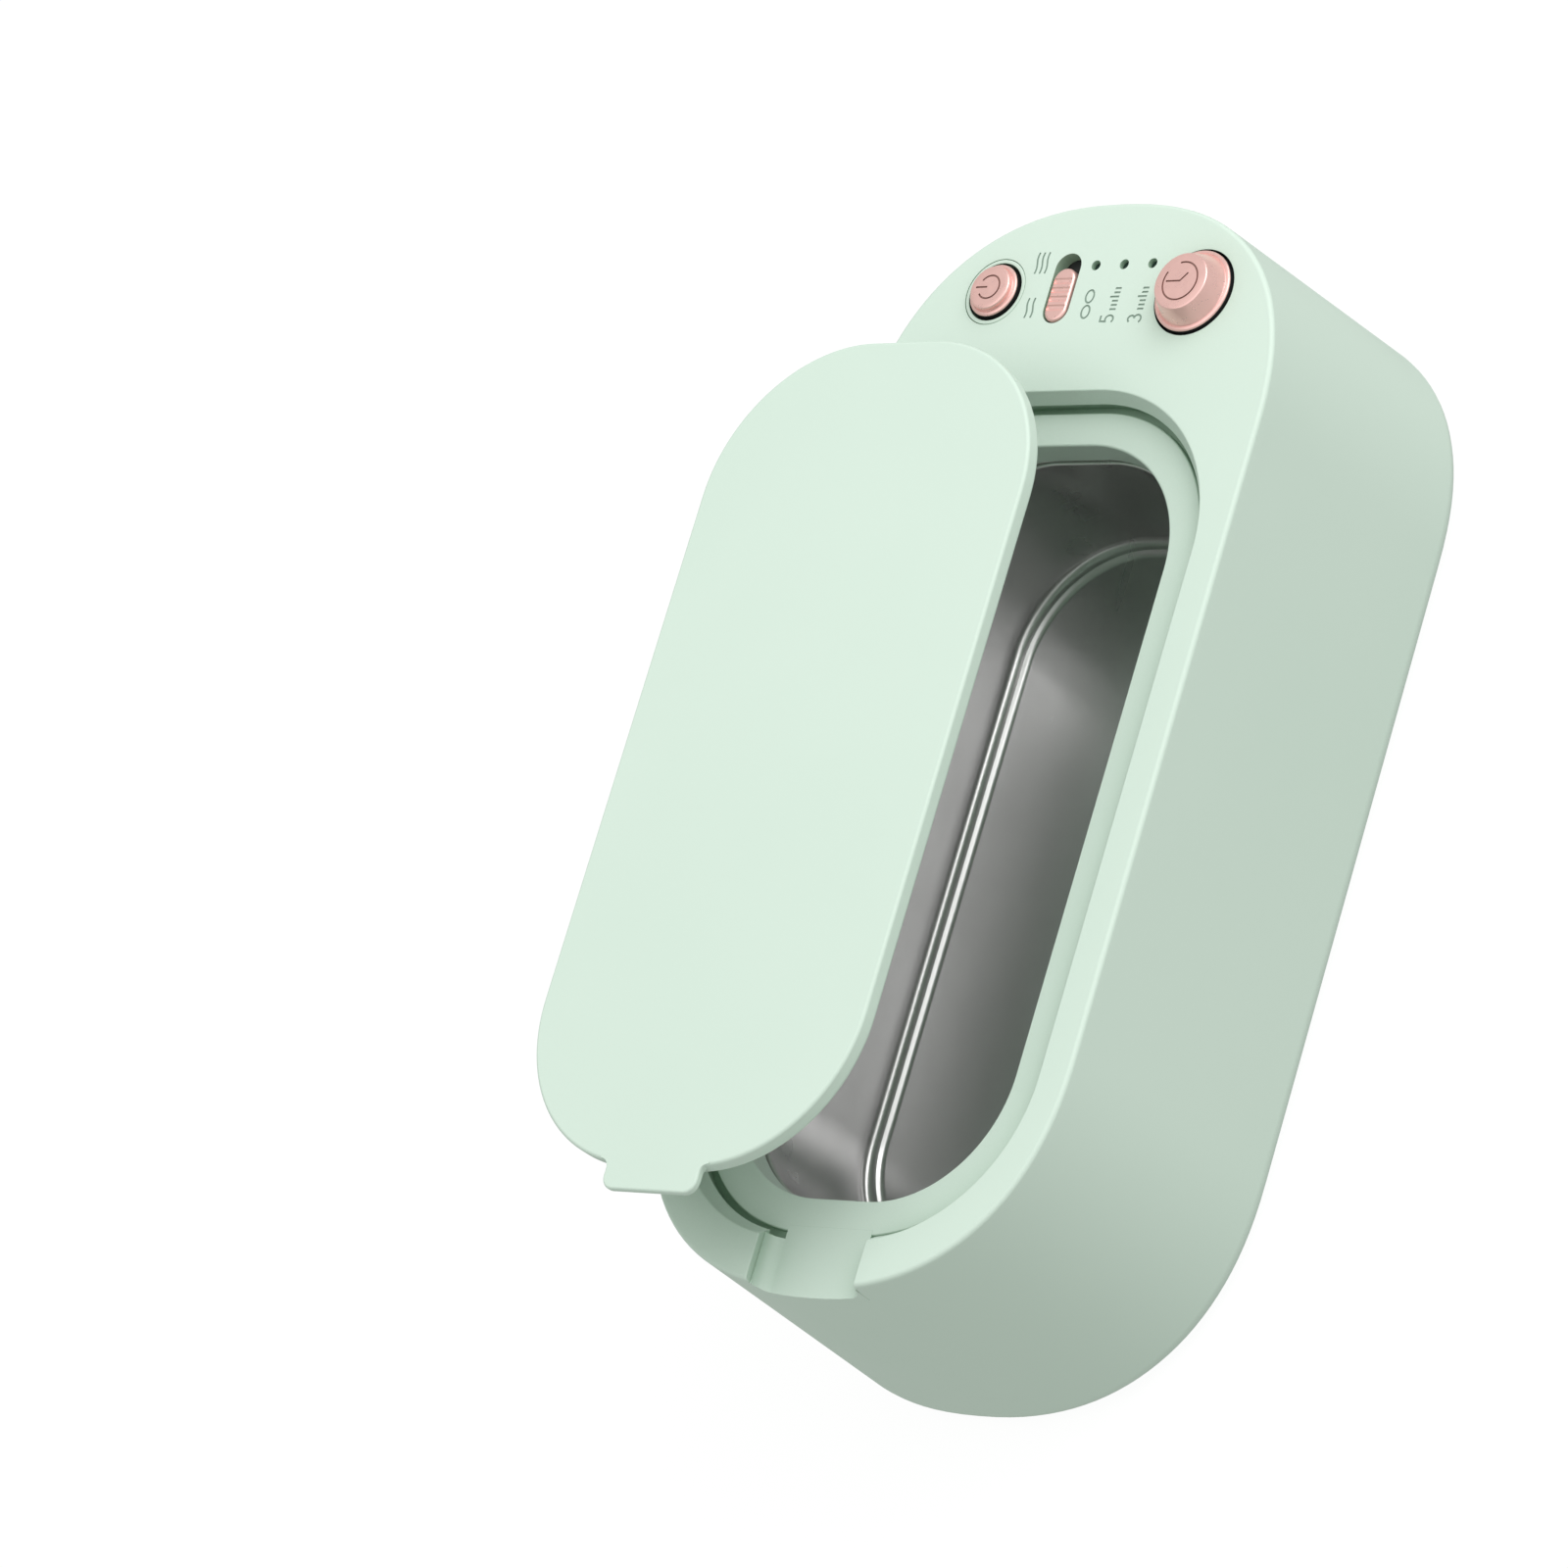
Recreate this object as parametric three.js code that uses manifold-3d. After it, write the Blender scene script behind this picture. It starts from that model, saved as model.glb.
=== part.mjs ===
// A compact ultrasonic cleaner for jewellery and glasses: a moulded housing with a control panel at
// one end, a drawn steel tank under a moulded ring, a lift-off lid, and the electronics inside.
//
// Millimetres, +Z up. X is the width and Y the length. The control panel is at +Y and the finger
// notch at -Y. The origin is the middle of the footprint, on the surface that the feet stand on.

import * as THREE from "three";
import { mergeVertices } from "three/addons/utils/BufferGeometryUtils.js";
import Module from "manifold-3d";

const wasm = await Module();
wasm.setup();

// ---------------------------------------------------------------- driving dimensions

// Housing
const LENGTH = 200; // along the top edge
const WIDTH = 87.3;
const BODY_HEIGHT = 55.8;
const FOOT_GAP = 0.5; // from the standing surface to the underside
const END_DEPTH = 43.3; // how far back along Y each rounded end begins
const END_POWER = 2.33; // 2 is an ellipse, and more is squarer
const FLARE = 2.4; // the foot is this much wider than the top, on each side
const WALL = 2.2;
const DECK = 2.5; // thickness of the top
const TOP_EDGE = 0.8; // edge radii
const BOTTOM_EDGE = 4;
const BASE_INSET = 6.2; // from the foot's outline to the opening for the base cover
const GAP = 0.3; // between pieces that meet

// Lid recess, centred at RECESS_Y. Everything inside it is drawn as an inward offset from its edge.
const RECESS_WIDTH = 75;
const RECESS_LENGTH = 155.2;
const RECESS_RADIUS = 30.2;
const RECESS_Y = -13.55;
const RADIUS_SHRINK = 0.8; // the corner radius loses this much for each millimetre of offset
const RECESS_SLOPE = 1.5; // the recess wall leans in by this much over the deck's thickness
const LEDGE_DEPTH = 3.94; // from the deck down to the ledge that the lid sits on
const LEDGE_FALL = 0.2; // the ledge drains towards the tank
const LEDGE_OFFSET = 2.35;
const MOUTH_OFFSET = 8.475;
const SKIRT_DEPTH = 9.5;

// Tank
const SHEET = 0.6;
const TANK_DEPTH = 40.5; // from the deck to the tank's floor
const TANK_MOUTH_OFFSET = 8.9;
const TANK_FOOT_OFFSET = 9; // the wall's foot, which is almost straight below the mouth
const TANK_BEND = 1.8;
const TANK_STEP = 0.85; // the floor lies this much below the ring round it
const TANK_FLANGE_OFFSET = 3.6;

// Lid and its notch
const LID_OFFSET = 2.4;
const LID_THICKNESS = 3.2;
const LID_SEAT_GAP = 0.1;
const TAB_HALF_WIDTH = 10.2;
const TAB_REACH = 4.7;
const TAB_THICKNESS = 1.4;
const NOTCH_HALF_WIDTH = 11.5;
const TONGUE_REACH = 0.3; // beyond the housing's end
const TONGUE_THICKNESS = 1.4;
const TONGUE_FILLET = 2.6; // where the tongue turns up along each side of the notch
const TONGUE_UPSTAND = 0.3; // its thickness there
const BRIDGE_HALF_WIDTH = 9; // where it joins the ledge
const BRIDGE_LAP = 1; // how far the join reaches into the tongue and into the ledge
const DRIP_OFFSET = 1; // the drip groove round the ledge starts here
const LIFT = new THREE.Vector3(-16.1, 0, 24.8); // from the lid's seat to where it is held off

// Controls on the panel
const POWER = { x: -21.8, y: 83.6, radius: 4.95, faceRadius: 4.05, height: 1.9, hole: 5.5 };
const POWER_RING = { outer: 6.25, height: 0.8 };
const TIMER = { x: 22, y: 82.1, radius: 7.65, faceRadius: 5.1, height: 4.3, hole: 8.15 };
const BUTTON_FLANGE = 1; // how far a button's retaining flange reaches past its hole
const SLOT = { x: -7.1, y: 83.8, halfWidth: 2.76, halfLength: 6.7 };
const SLIDER = { halfWidth: 2.3, halfLength: 5.15, proud: 0.3 };
const SLIDER_TRAVEL = 2.6;
const LED_X = [-1.1, 5.05, 11.2];
const LED_Y = 88;
const LED_HOLE = 0.95;

// Boards
const BOARD = 1.6;
const CONTROL_BOARD_TOP = 47;
const MAIN_BOARD_TOP = 10.6;
const CONTROL_POSTS = [[-14, 73.5], [6, 76], [-14, 91.5], [14.5, 92]];
const MAIN_POSTS = [[-24, 63.5], [24, 63.5], [-22, 86], [22, 86]];
const SWITCH = { side: 6, height: 3.5, plungerRadius: 1.7, plungerTop: 51.6 };

// Fixings
const BASE_SCREWS = [[-35.5, -52], [35.5, -52], [-35.5, 52], [35.5, 52]];
const FEET = [[-27, -68], [27, -68], [-27, 68], [27, 68]];
const FOOT_RADIUS = 5.7;
const FOOT_HEIGHT = 1.5;
const CLAMP_OFFSET = 0.4;
const CLAMP_THICKNESS = 1.3;
const CLAMP_SPREAD = 40; // the side clamps' distance along Y from the recess's middle

// Power inlet
const INLET = { radius: 4.2, bore: 3, pin: 1, halfWidth: 4.5, back: 86, z: 16.4 };

// Transducer
const DISC_RADIUS = 17.5;
const DISC_HEIGHT = 2.8;
const BOND = 0.3;

// Levels that follow
const BASE = FOOT_GAP;
const TOP = BASE + BODY_HEIGHT;
const DECK_UNDERSIDE = TOP - DECK;
const LEDGE = TOP - LEDGE_DEPTH;
const SKIRT_END = TOP - SKIRT_DEPTH;
const TANK_FLOOR = TOP - TANK_DEPTH;
const FLANGE_TOP = SKIRT_END - 0.9;
const RECESS_END = RECESS_Y - RECESS_LENGTH / 2; // the recess's -Y end
const GASKET = { low: FLANGE_TOP + 0.1, high: SKIRT_END - 0.1 };
const CORNER_STEPS = 9; // points round each corner of an outline

// ---------------------------------------------------------------- solids

function solid(geometry) {
  const bare = geometry.index ? geometry.toNonIndexed() : geometry.clone();
  bare.deleteAttribute("normal");
  bare.deleteAttribute("uv");
  const merged = mergeVertices(bare, 1e-4);
  const corners = Array.from(merged.index.array);
  const kept = [];
  for (let i = 0; i < corners.length; i += 3) {
    const [a, b, c] = corners.slice(i, i + 3);
    if (a !== b && b !== c && c !== a) kept.push(a, b, c);
  }
  const vertProperties = merged.attributes.position.array;
  const triVerts = new Uint32Array(kept);
  return new wasm.Manifold(new wasm.Mesh({ numProp: 3, vertProperties, triVerts }));
}

function geometryOf(shape) {
  const mesh = shape.getMesh();
  const geometry = new THREE.BufferGeometry();
  geometry.setAttribute("position", new THREE.BufferAttribute(mesh.vertProperties, 3));
  geometry.setIndex(new THREE.BufferAttribute(mesh.triVerts, 1));
  geometry.computeVertexNormals();
  return geometry;
}

function box(x0, x1, y0, y1, z0, z1) {
  const geometry = new THREE.BoxGeometry(x1 - x0, y1 - y0, z1 - z0);
  geometry.translate((x0 + x1) / 2, (y0 + y1) / 2, (z0 + z1) / 2);
  return solid(geometry);
}

// An upright round bar.
function bar(x, y, radius, z0, z1, sides = 20) {
  const geometry = new THREE.CylinderGeometry(radius, radius, z1 - z0, sides);
  geometry.rotateX(Math.PI / 2);
  geometry.translate(x, y, (z0 + z1) / 2);
  return solid(geometry);
}

// A turned piece standing at (x, y). The profile is a list of [radius, z], going up the outside.
function turned(x, y, profile, sides = 32) {
  const points = profile.map(([radius, z]) => new THREE.Vector2(radius, z));
  const geometry = new THREE.LatheGeometry(points, sides);
  geometry.rotateX(Math.PI / 2);
  geometry.translate(x, y, 0);
  return solid(geometry);
}

// A flat plate of the given outline.
function plate(shape, z0, z1, curveSegments = 8) {
  const settings = { depth: z1 - z0, bevelEnabled: false, curveSegments };
  const geometry = new THREE.ExtrudeGeometry(shape, settings);
  geometry.translate(0, 0, z0);
  return solid(geometry);
}

// A rectangle with rounded corners.
function roundedRectangle(x0, x1, y0, y1, radius) {
  const shape = new THREE.Shape();
  shape.moveTo(x0 + radius, y0);
  shape.lineTo(x1 - radius, y0);
  shape.absarc(x1 - radius, y0 + radius, radius, -Math.PI / 2, 0);
  shape.lineTo(x1, y1 - radius);
  shape.absarc(x1 - radius, y1 - radius, radius, 0, Math.PI / 2);
  shape.lineTo(x0 + radius, y1);
  shape.absarc(x0 + radius, y1 - radius, radius, Math.PI / 2, Math.PI);
  shape.lineTo(x0, y0 + radius);
  shape.absarc(x0 + radius, y0 + radius, radius, Math.PI, 1.5 * Math.PI);
  return shape;
}

// A slot with round ends along Y.
function slotShape(x, y, halfWidth, halfLength) {
  return roundedRectangle(x - halfWidth, x + halfWidth, y - halfLength, y + halfLength, halfWidth - 0.001);
}

function wire(points, section, steps) {
  const path = new THREE.CatmullRomCurve3(points.map((p) => new THREE.Vector3(...p)));
  return solid(new THREE.ExtrudeGeometry(section, { steps, extrudePath: path, bevelEnabled: false }));
}

// ---------------------------------------------------------------- lofts over a rounded outline

// One loop of points round a straight-sided outline with rounded corners, drawn in by inset.
function loop(form, inset, z) {
  const halfX = form.halfX - inset;
  const halfY = form.halfY - inset;
  const endX = Math.min(form.endX - form.shrink * inset, halfX);
  const endY = form.endY - form.shrink * inset;
  const power = 2 / form.power;
  const points = [];
  for (let corner = 0; corner < 4; corner++) {
    const sideX = corner === 0 || corner === 3 ? 1 : -1;
    const sideY = corner < 2 ? 1 : -1;
    for (let step = 0; step <= CORNER_STEPS; step++) {
      const along = sideX === sideY ? step : CORNER_STEPS - step;
      const angle = (along / CORNER_STEPS) * (Math.PI / 2);
      const x = halfX - endX + endX * Math.abs(Math.cos(angle)) ** power;
      const y = halfY - endY + endY * Math.abs(Math.sin(angle)) ** power;
      points.push(new THREE.Vector3(sideX * x, form.y + sideY * y, z));
    }
  }
  return points;
}

const BODY_FORM = {
  halfX: WIDTH / 2,
  halfY: LENGTH / 2,
  endX: WIDTH / 2,
  endY: END_DEPTH,
  power: END_POWER,
  shrink: 1,
  y: 0,
};

const RECESS_FORM = {
  halfX: RECESS_WIDTH / 2,
  halfY: RECESS_LENGTH / 2,
  endX: RECESS_RADIUS,
  endY: RECESS_RADIUS,
  power: 2,
  shrink: RADIUS_SHRINK,
  y: RECESS_Y,
};

// The housing's outline at a height, which flares towards the foot.
function bodyLoop(inset, z) {
  return loop(BODY_FORM, inset - (FLARE * (TOP - z)) / BODY_HEIGHT, z);
}

function recessLoop(offset, z) {
  return loop(RECESS_FORM, offset, z);
}

// Skins a list of loops. They go up the outside. A hollow section closes on its first loop, and any
// other loft is capped flat at both ends.
function loft(loops, closed) {
  const count = loops[0].length;
  const positions = loops.flat().flatMap((p) => [p.x, p.y, p.z]);
  const index = [];
  const rows = closed ? loops.length : loops.length - 1;
  for (let row = 0; row < rows; row++) {
    const low = row * count;
    const high = ((row + 1) % loops.length) * count;
    for (let i = 0; i < count; i++) {
      const next = (i + 1) % count;
      index.push(low + i, low + next, high + next);
      index.push(low + i, high + next, high + i);
    }
  }
  if (!closed) {
    const last = (loops.length - 1) * count;
    for (let i = 1; i < count - 1; i++) {
      index.push(0, i + 1, i);
      index.push(last, last + i, last + i + 1);
    }
  }
  const geometry = new THREE.BufferGeometry();
  geometry.setAttribute("position", new THREE.Float32BufferAttribute(positions, 3));
  geometry.setIndex(index);
  return solid(geometry);
}

// Points round a quarter of an edge radius, from the flat below or beside it.
function quarter(steps) {
  return Array.from({ length: steps + 1 }, (_, i) => (i / steps) * (Math.PI / 2));
}

// ---------------------------------------------------------------- housing

function housingShell() {
  const loops = [bodyLoop(BASE_INSET, BASE)];
  for (const angle of quarter(3)) {
    const inset = BOTTOM_EDGE * (1 - Math.sin(angle));
    loops.push(bodyLoop(inset, BASE + BOTTOM_EDGE * (1 - Math.cos(angle))));
  }
  for (const angle of quarter(3)) {
    const inset = TOP_EDGE * (1 - Math.cos(angle));
    loops.push(bodyLoop(inset, TOP - TOP_EDGE * (1 - Math.sin(angle))));
  }
  loops.push(recessLoop(0, TOP));
  loops.push(recessLoop(RECESS_SLOPE, DECK_UNDERSIDE));
  loops.push(bodyLoop(WALL, DECK_UNDERSIDE));
  loops.push(bodyLoop(WALL, BASE + BOTTOM_EDGE));
  loops.push(bodyLoop(BASE_INSET - 2, BASE + WALL));
  loops.push(bodyLoop(BASE_INSET, BASE + WALL));
  return loft(loops, true);
}

// A boss for a base screw, tied to the side wall by a rib.
function baseBoss([x, y]) {
  const low = BASE + 4.6;
  const high = 30;
  const wallX = Math.sign(x) * (WIDTH / 2 + 0.3);
  const rib = box(Math.min(x, wallX), Math.max(x, wallX), y - 1, y + 1, low, high);
  return bar(x, y, 3.2, low, high, 16).add(rib).subtract(bar(x, y, 1.15, low - 1, low + 12, 10));
}

function controlPost([x, y]) {
  const low = CONTROL_BOARD_TOP + GAP;
  return bar(x, y, 2.2, low, DECK_UNDERSIDE + 0.5, 12).subtract(bar(x, y, 0.9, low - 1, low + 5, 8));
}

function notchCut() {
  const inner = RECESS_END + 12;
  const outer = -LENGTH / 2 - 10;
  return box(-NOTCH_HALF_WIDTH, NOTCH_HALF_WIDTH, outer, inner, LEDGE - TONGUE_THICKNESS - GAP, TOP + 1);
}

function panelCuts() {
  const low = DECK_UNDERSIDE - 1;
  const high = TOP + 1;
  const ringSeat = TOP - POWER_RING.height - 0.1;
  let cuts = bar(POWER.x, POWER.y, POWER.hole, low, high, 28);
  cuts = cuts.add(bar(POWER.x, POWER.y, POWER_RING.outer + 0.1, ringSeat, high, 28));
  cuts = cuts.add(bar(TIMER.x, TIMER.y, TIMER.hole, low, high, 28));
  cuts = cuts.add(plate(slotShape(SLOT.x, SLOT.y, SLOT.halfWidth, SLOT.halfLength), low, high));
  for (const x of LED_X) cuts = cuts.add(bar(x, LED_Y, LED_HOLE, low, high, 12));
  return cuts;
}

function inletCut() {
  const geometry = new THREE.CylinderGeometry(INLET.radius + GAP, INLET.radius + GAP, 20, 24);
  geometry.translate(0, LENGTH / 2, INLET.z);
  return solid(geometry);
}

function housing() {
  let shape = housingShell().subtract(panelCuts()).subtract(notchCut()).subtract(inletCut());
  for (const place of BASE_SCREWS) shape = shape.add(baseBoss(place));
  for (const place of CONTROL_POSTS) shape = shape.add(controlPost(place));
  return shape;
}

// ---------------------------------------------------------------- base

function baseCover() {
  const low = bodyLoop(BASE_INSET + GAP, BASE);
  const high = bodyLoop(BASE_INSET + GAP, BASE + WALL + GAP);
  let shape = loft([low, high], false);
  const flange = [BASE + WALL + GAP, BASE + WALL + GAP + 1.5].map((z) => bodyLoop(BASE_INSET - 1.6, z));
  shape = shape.add(loft(flange, false));
  for (const [x, y] of BASE_SCREWS) {
    shape = shape.subtract(bar(x, y, 1.7, BASE - 1, BASE + 8, 12));
    shape = shape.subtract(bar(x, y, 3, BASE - 1, BASE + 1.8, 16));
  }
  for (const [x, y] of FEET) {
    shape = shape.subtract(bar(x, y, FOOT_RADIUS + GAP, BASE - 1, FOOT_HEIGHT + 0.1, 20));
  }
  for (const [x, y] of MAIN_POSTS) {
    const high = MAIN_BOARD_TOP - BOARD - GAP;
    shape = shape.add(bar(x, y, 2.4, BASE + 3, high, 12).subtract(bar(x, y, 0.9, BASE + 5, high + 1, 8)));
  }
  return shape;
}

function foot(x, y) {
  const edge = 0.3;
  const profile = [[0, 0], [FOOT_RADIUS - edge, 0], [FOOT_RADIUS, edge], [FOOT_RADIUS, FOOT_HEIGHT]];
  return turned(x, y, [...profile, [0, FOOT_HEIGHT]], 20);
}

// A screw driven upwards, with its head at the bottom.
function screwUp(x, y, head, headHeight, shank, z0, z1) {
  const shoulder = z0 + headHeight;
  const headSide = [[0, z0], [head, z0], [head, shoulder]];
  const body = turned(x, y, [...headSide, [shank, shoulder], [shank, z1], [0, z1]], 12);
  return body.subtract(bar(x, y, head * 0.4, z0 - 1, z0 + headHeight * 0.6, 6));
}

// A screw driven downwards, with its head at the top.
function screwDown(x, y, head, headHeight, shank, z0, z1) {
  const shoulder = z1 - headHeight;
  const headSide = [[head, shoulder], [head, z1], [0, z1]];
  const body = turned(x, y, [[0, z0], [shank, z0], [shank, shoulder], ...headSide], 12);
  return body.subtract(bar(x, y, head * 0.4, z1 - headHeight * 0.6, z1 + 1, 6));
}

// ---------------------------------------------------------------- tank

// The moulded ring between the housing and the tank. Its section holds a flange under the deck, a
// drip groove, the ledge for the lid, and a skirt that ends on the gasket.
function trimSection() {
  const under = DECK_UNDERSIDE - GAP;
  return [
    [-3, under],
    [DRIP_OFFSET, under],
    [DRIP_OFFSET, LEDGE - 1.16],
    [LEDGE_OFFSET, LEDGE - 1.16],
    [LEDGE_OFFSET, LEDGE - 0.3],
    [LEDGE_OFFSET + 0.3, LEDGE],
    [MOUTH_OFFSET - 0.4, LEDGE - LEDGE_FALL],
    [MOUTH_OFFSET, LEDGE - LEDGE_FALL - 0.4],
    [MOUTH_OFFSET + 0.2, SKIRT_END],
    [4.6, SKIRT_END],
    [4.6, SKIRT_END + 1.4],
    [7.1, SKIRT_END + 1.4],
    [7.1, LEDGE - 2.76],
    [-0.6, LEDGE - 2.76],
    [-0.6, under - 1.8],
    [-3, under - 1.8],
  ];
}

// The tongue's section across the notch: a flat floor that turns up at each side.
function tongueSection() {
  const half = NOTCH_HALF_WIDTH - GAP;
  const inner = half - TONGUE_UPSTAND;
  const flat = inner - TONGUE_FILLET;
  const rim = LEDGE + TONGUE_FILLET;
  const shape = new THREE.Shape();
  shape.moveTo(-half, LEDGE - TONGUE_THICKNESS);
  shape.lineTo(half, LEDGE - TONGUE_THICKNESS);
  shape.lineTo(half, rim);
  shape.absarc(flat, rim, TONGUE_FILLET, 0, -Math.PI / 2, true);
  shape.absarc(-flat, rim, TONGUE_FILLET, -Math.PI / 2, -Math.PI, true);
  shape.lineTo(-half, rim);
  return shape;
}

// The tongue carries the ledge out through the notch, where a fingertip finds the lid's tab.
function tongue() {
  const low = LEDGE - TONGUE_THICKNESS;
  const start = RECESS_END + BRIDGE_LAP;
  const depth = start + LENGTH / 2 + TONGUE_REACH + 1;
  const settings = { depth, bevelEnabled: false, curveSegments: 6 };
  const geometry = new THREE.ExtrudeGeometry(tongueSection(), settings);
  geometry.rotateX(Math.PI / 2);
  geometry.translate(0, start, 0);
  const outline = loft([low - 1, TOP].map((z) => bodyLoop(-TONGUE_REACH, z)), false);
  const recess = loft([low - 1, TOP].map((z) => recessLoop(DRIP_OFFSET - 0.1, z)), false);
  const half = BRIDGE_HALF_WIDTH;
  const bridge = box(-half, half, RECESS_END - BRIDGE_LAP, start + LEDGE_OFFSET, low, LEDGE);
  return solid(geometry).intersect(outline).subtract(recess).add(bridge);
}

// Places for the clamps that hold the tank, as [x, y, direction towards the tank].
function clampPlaces() {
  const x = RECESS_WIDTH / 2 - CLAMP_OFFSET;
  const end = RECESS_LENGTH / 2 - CLAMP_OFFSET;
  const sides = [-1, 1].flatMap((side) => [
    [side * x, RECESS_Y - CLAMP_SPREAD, [-side, 0]],
    [side * x, RECESS_Y + CLAMP_SPREAD, [-side, 0]],
  ]);
  return [...sides, [0, RECESS_Y - end, [0, 1]], [0, RECESS_Y + end, [0, -1]]];
}

function tankTrim() {
  let shape = loft(trimSection().map(([offset, z]) => recessLoop(offset, z)), true);
  const clear = box(-NOTCH_HALF_WIDTH, NOTCH_HALF_WIDTH, -LENGTH, -85, LEDGE, TOP);
  shape = shape.subtract(clear).add(tongue());
  for (const [x, y] of clampPlaces()) {
    shape = shape.add(bar(x, y, 2.6, SKIRT_END - 1.3, LEDGE - 2, 12));
    shape = shape.subtract(bar(x, y, 1.15, SKIRT_END - 2, SKIRT_END + 2.6, 8));
  }
  return shape;
}

// The wall bends in to a narrow ring, and a step slopes down from the ring to the floor.
function tank() {
  const centre = TANK_FOOT_OFFSET + TANK_BEND;
  const bendStart = TANK_FLOOR + TANK_STEP + TANK_BEND;
  const outer = [[centre + TANK_STEP, TANK_FLOOR - SHEET]];
  const inner = [];
  for (const angle of quarter(4)) {
    const radius = TANK_BEND + SHEET;
    outer.push([centre - radius * Math.sin(angle), bendStart - radius * Math.cos(angle)]);
  }
  for (const angle of quarter(4)) {
    inner.push([centre - TANK_BEND * Math.cos(angle), bendStart - TANK_BEND * Math.sin(angle)]);
  }
  inner.push([centre + TANK_STEP, TANK_FLOOR]);
  const flange = [
    [TANK_MOUTH_OFFSET - SHEET, FLANGE_TOP - SHEET],
    [TANK_FLANGE_OFFSET, FLANGE_TOP - SHEET],
    [TANK_FLANGE_OFFSET, FLANGE_TOP],
    [TANK_MOUTH_OFFSET, FLANGE_TOP],
  ];
  const section = [...outer, ...flange, ...inner];
  return loft(section.map(([offset, z]) => recessLoop(offset, z)), false);
}

function gasket() {
  const section = [[5, GASKET.low], [5, GASKET.high], [8.2, GASKET.high], [8.2, GASKET.low]];
  return loft(section.map(([offset, z]) => recessLoop(offset, z)), true);
}

// A small plate that presses the tank's flange up against the gasket.
function clamp([x, y, [towardsX, towardsY]]) {
  const high = FLANGE_TOP - SHEET - GAP;
  const low = high - CLAMP_THICKNESS;
  const [alongX, alongY] = [Math.abs(towardsX), Math.abs(towardsY)];
  const middle = [x + 2.1 * towardsX, y + 2.1 * towardsY];
  const half = [3.9 * alongX + 4.5 * alongY, 3.9 * alongY + 4.5 * alongX];
  const outline = roundedRectangle(
    middle[0] - half[0],
    middle[0] + half[0],
    middle[1] - half[1],
    middle[1] + half[1],
    1.2,
  );
  return plate(outline, low, high, 3).subtract(bar(x, y, 1.3, low - 1, high + 1, 10));
}

// ---------------------------------------------------------------- lid

// The lid is drawn on its seat.
function lid() {
  const low = LEDGE + LID_SEAT_GAP;
  const high = low + LID_THICKNESS;
  const foot = 0.8;
  const edge = 0.6;
  const section = [[foot, low], [0, low + foot]];
  for (const angle of quarter(3)) {
    section.push([edge * (1 - Math.cos(angle)), high - edge * (1 - Math.sin(angle))]);
  }
  let shape = loft(section.map(([inset, z]) => recessLoop(LID_OFFSET + inset, z)), false);
  const pocket = [low - 1, low + 1].map((z) => recessLoop(13, z));
  shape = shape.subtract(loft(pocket, false));
  const rib = [[11.8, low - 1], [10.3, low - 1], [10.3, low + 1], [11.8, low + 1]];
  shape = shape.add(loft(rib.map(([offset, z]) => recessLoop(offset, z)), true));
  return shape.add(lidTab(high));
}

function lidTab(high) {
  const end = RECESS_END + LID_OFFSET;
  const outline = roundedRectangle(-TAB_HALF_WIDTH, TAB_HALF_WIDTH, end - TAB_REACH, end + 8, 2.4);
  const bevel = 0.4;
  const geometry = new THREE.ExtrudeGeometry(outline, {
    depth: TAB_THICKNESS - bevel,
    bevelThickness: bevel,
    bevelSize: bevel,
    bevelOffset: -bevel,
    bevelSegments: 1,
    curveSegments: 4,
  });
  geometry.translate(0, 0, high - TAB_THICKNESS);
  const whole = solid(geometry);
  return whole.intersect(box(-20, 20, end - 20, end + 5, high - TAB_THICKNESS, high));
}

// ---------------------------------------------------------------- controls

// A push button: a crowned cap above the deck, and a retaining flange below it.
function pushButton({ x, y, radius, faceRadius, height, hole }) {
  const flangeTop = DECK_UNDERSIDE - 0.1;
  const flangeLow = flangeTop - 1.1;
  const shoulder = TOP + 0.5;
  const face = TOP + height;
  const profile = [
    [0, flangeLow],
    [hole + BUTTON_FLANGE, flangeLow],
    [hole + BUTTON_FLANGE, flangeTop],
    [radius, flangeTop],
    [radius, shoulder],
    [radius - 0.5, shoulder + 0.4],
    [faceRadius + 0.3, face - 0.2],
    [faceRadius - 0.2, face],
    [0, face],
  ];
  return turned(x, y, profile, 28);
}

function powerRing() {
  const low = TOP - POWER_RING.height;
  const { outer } = POWER_RING;
  const inner = POWER.hole;
  const section = [[inner, low], [outer, low], [outer, TOP], [inner, TOP], [inner, low]];
  return turned(POWER.x, POWER.y, section, 28);
}

function modeSlider() {
  const y = SLOT.y - SLIDER_TRAVEL / 2;
  const flangeTop = DECK_UNDERSIDE - 0.1;
  const flangeLow = flangeTop - 1;
  const flange = roundedRectangle(SLOT.x - 3.9, SLOT.x + 3.9, y - 8.3, y + 8.3, 1.5);
  const top = TOP + SLIDER.proud;
  const cap = plate(slotShape(SLOT.x, y, SLIDER.halfWidth, SLIDER.halfLength), flangeTop - 0.2, top);
  let shape = plate(flange, flangeLow, flangeTop, 4).add(cap);
  for (const groove of [-2.6, -0.9, 0.9, 2.6]) {
    const middle = y + groove;
    shape = shape.subtract(box(SLOT.x - 2, SLOT.x + 2, middle - 0.25, middle + 0.25, top - 0.3, top + 1));
  }
  return shape.add(box(SLOT.x - 0.8, SLOT.x + 0.8, y - 1, y + 1, flangeLow - 2.3, flangeLow + 0.2));
}

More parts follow.
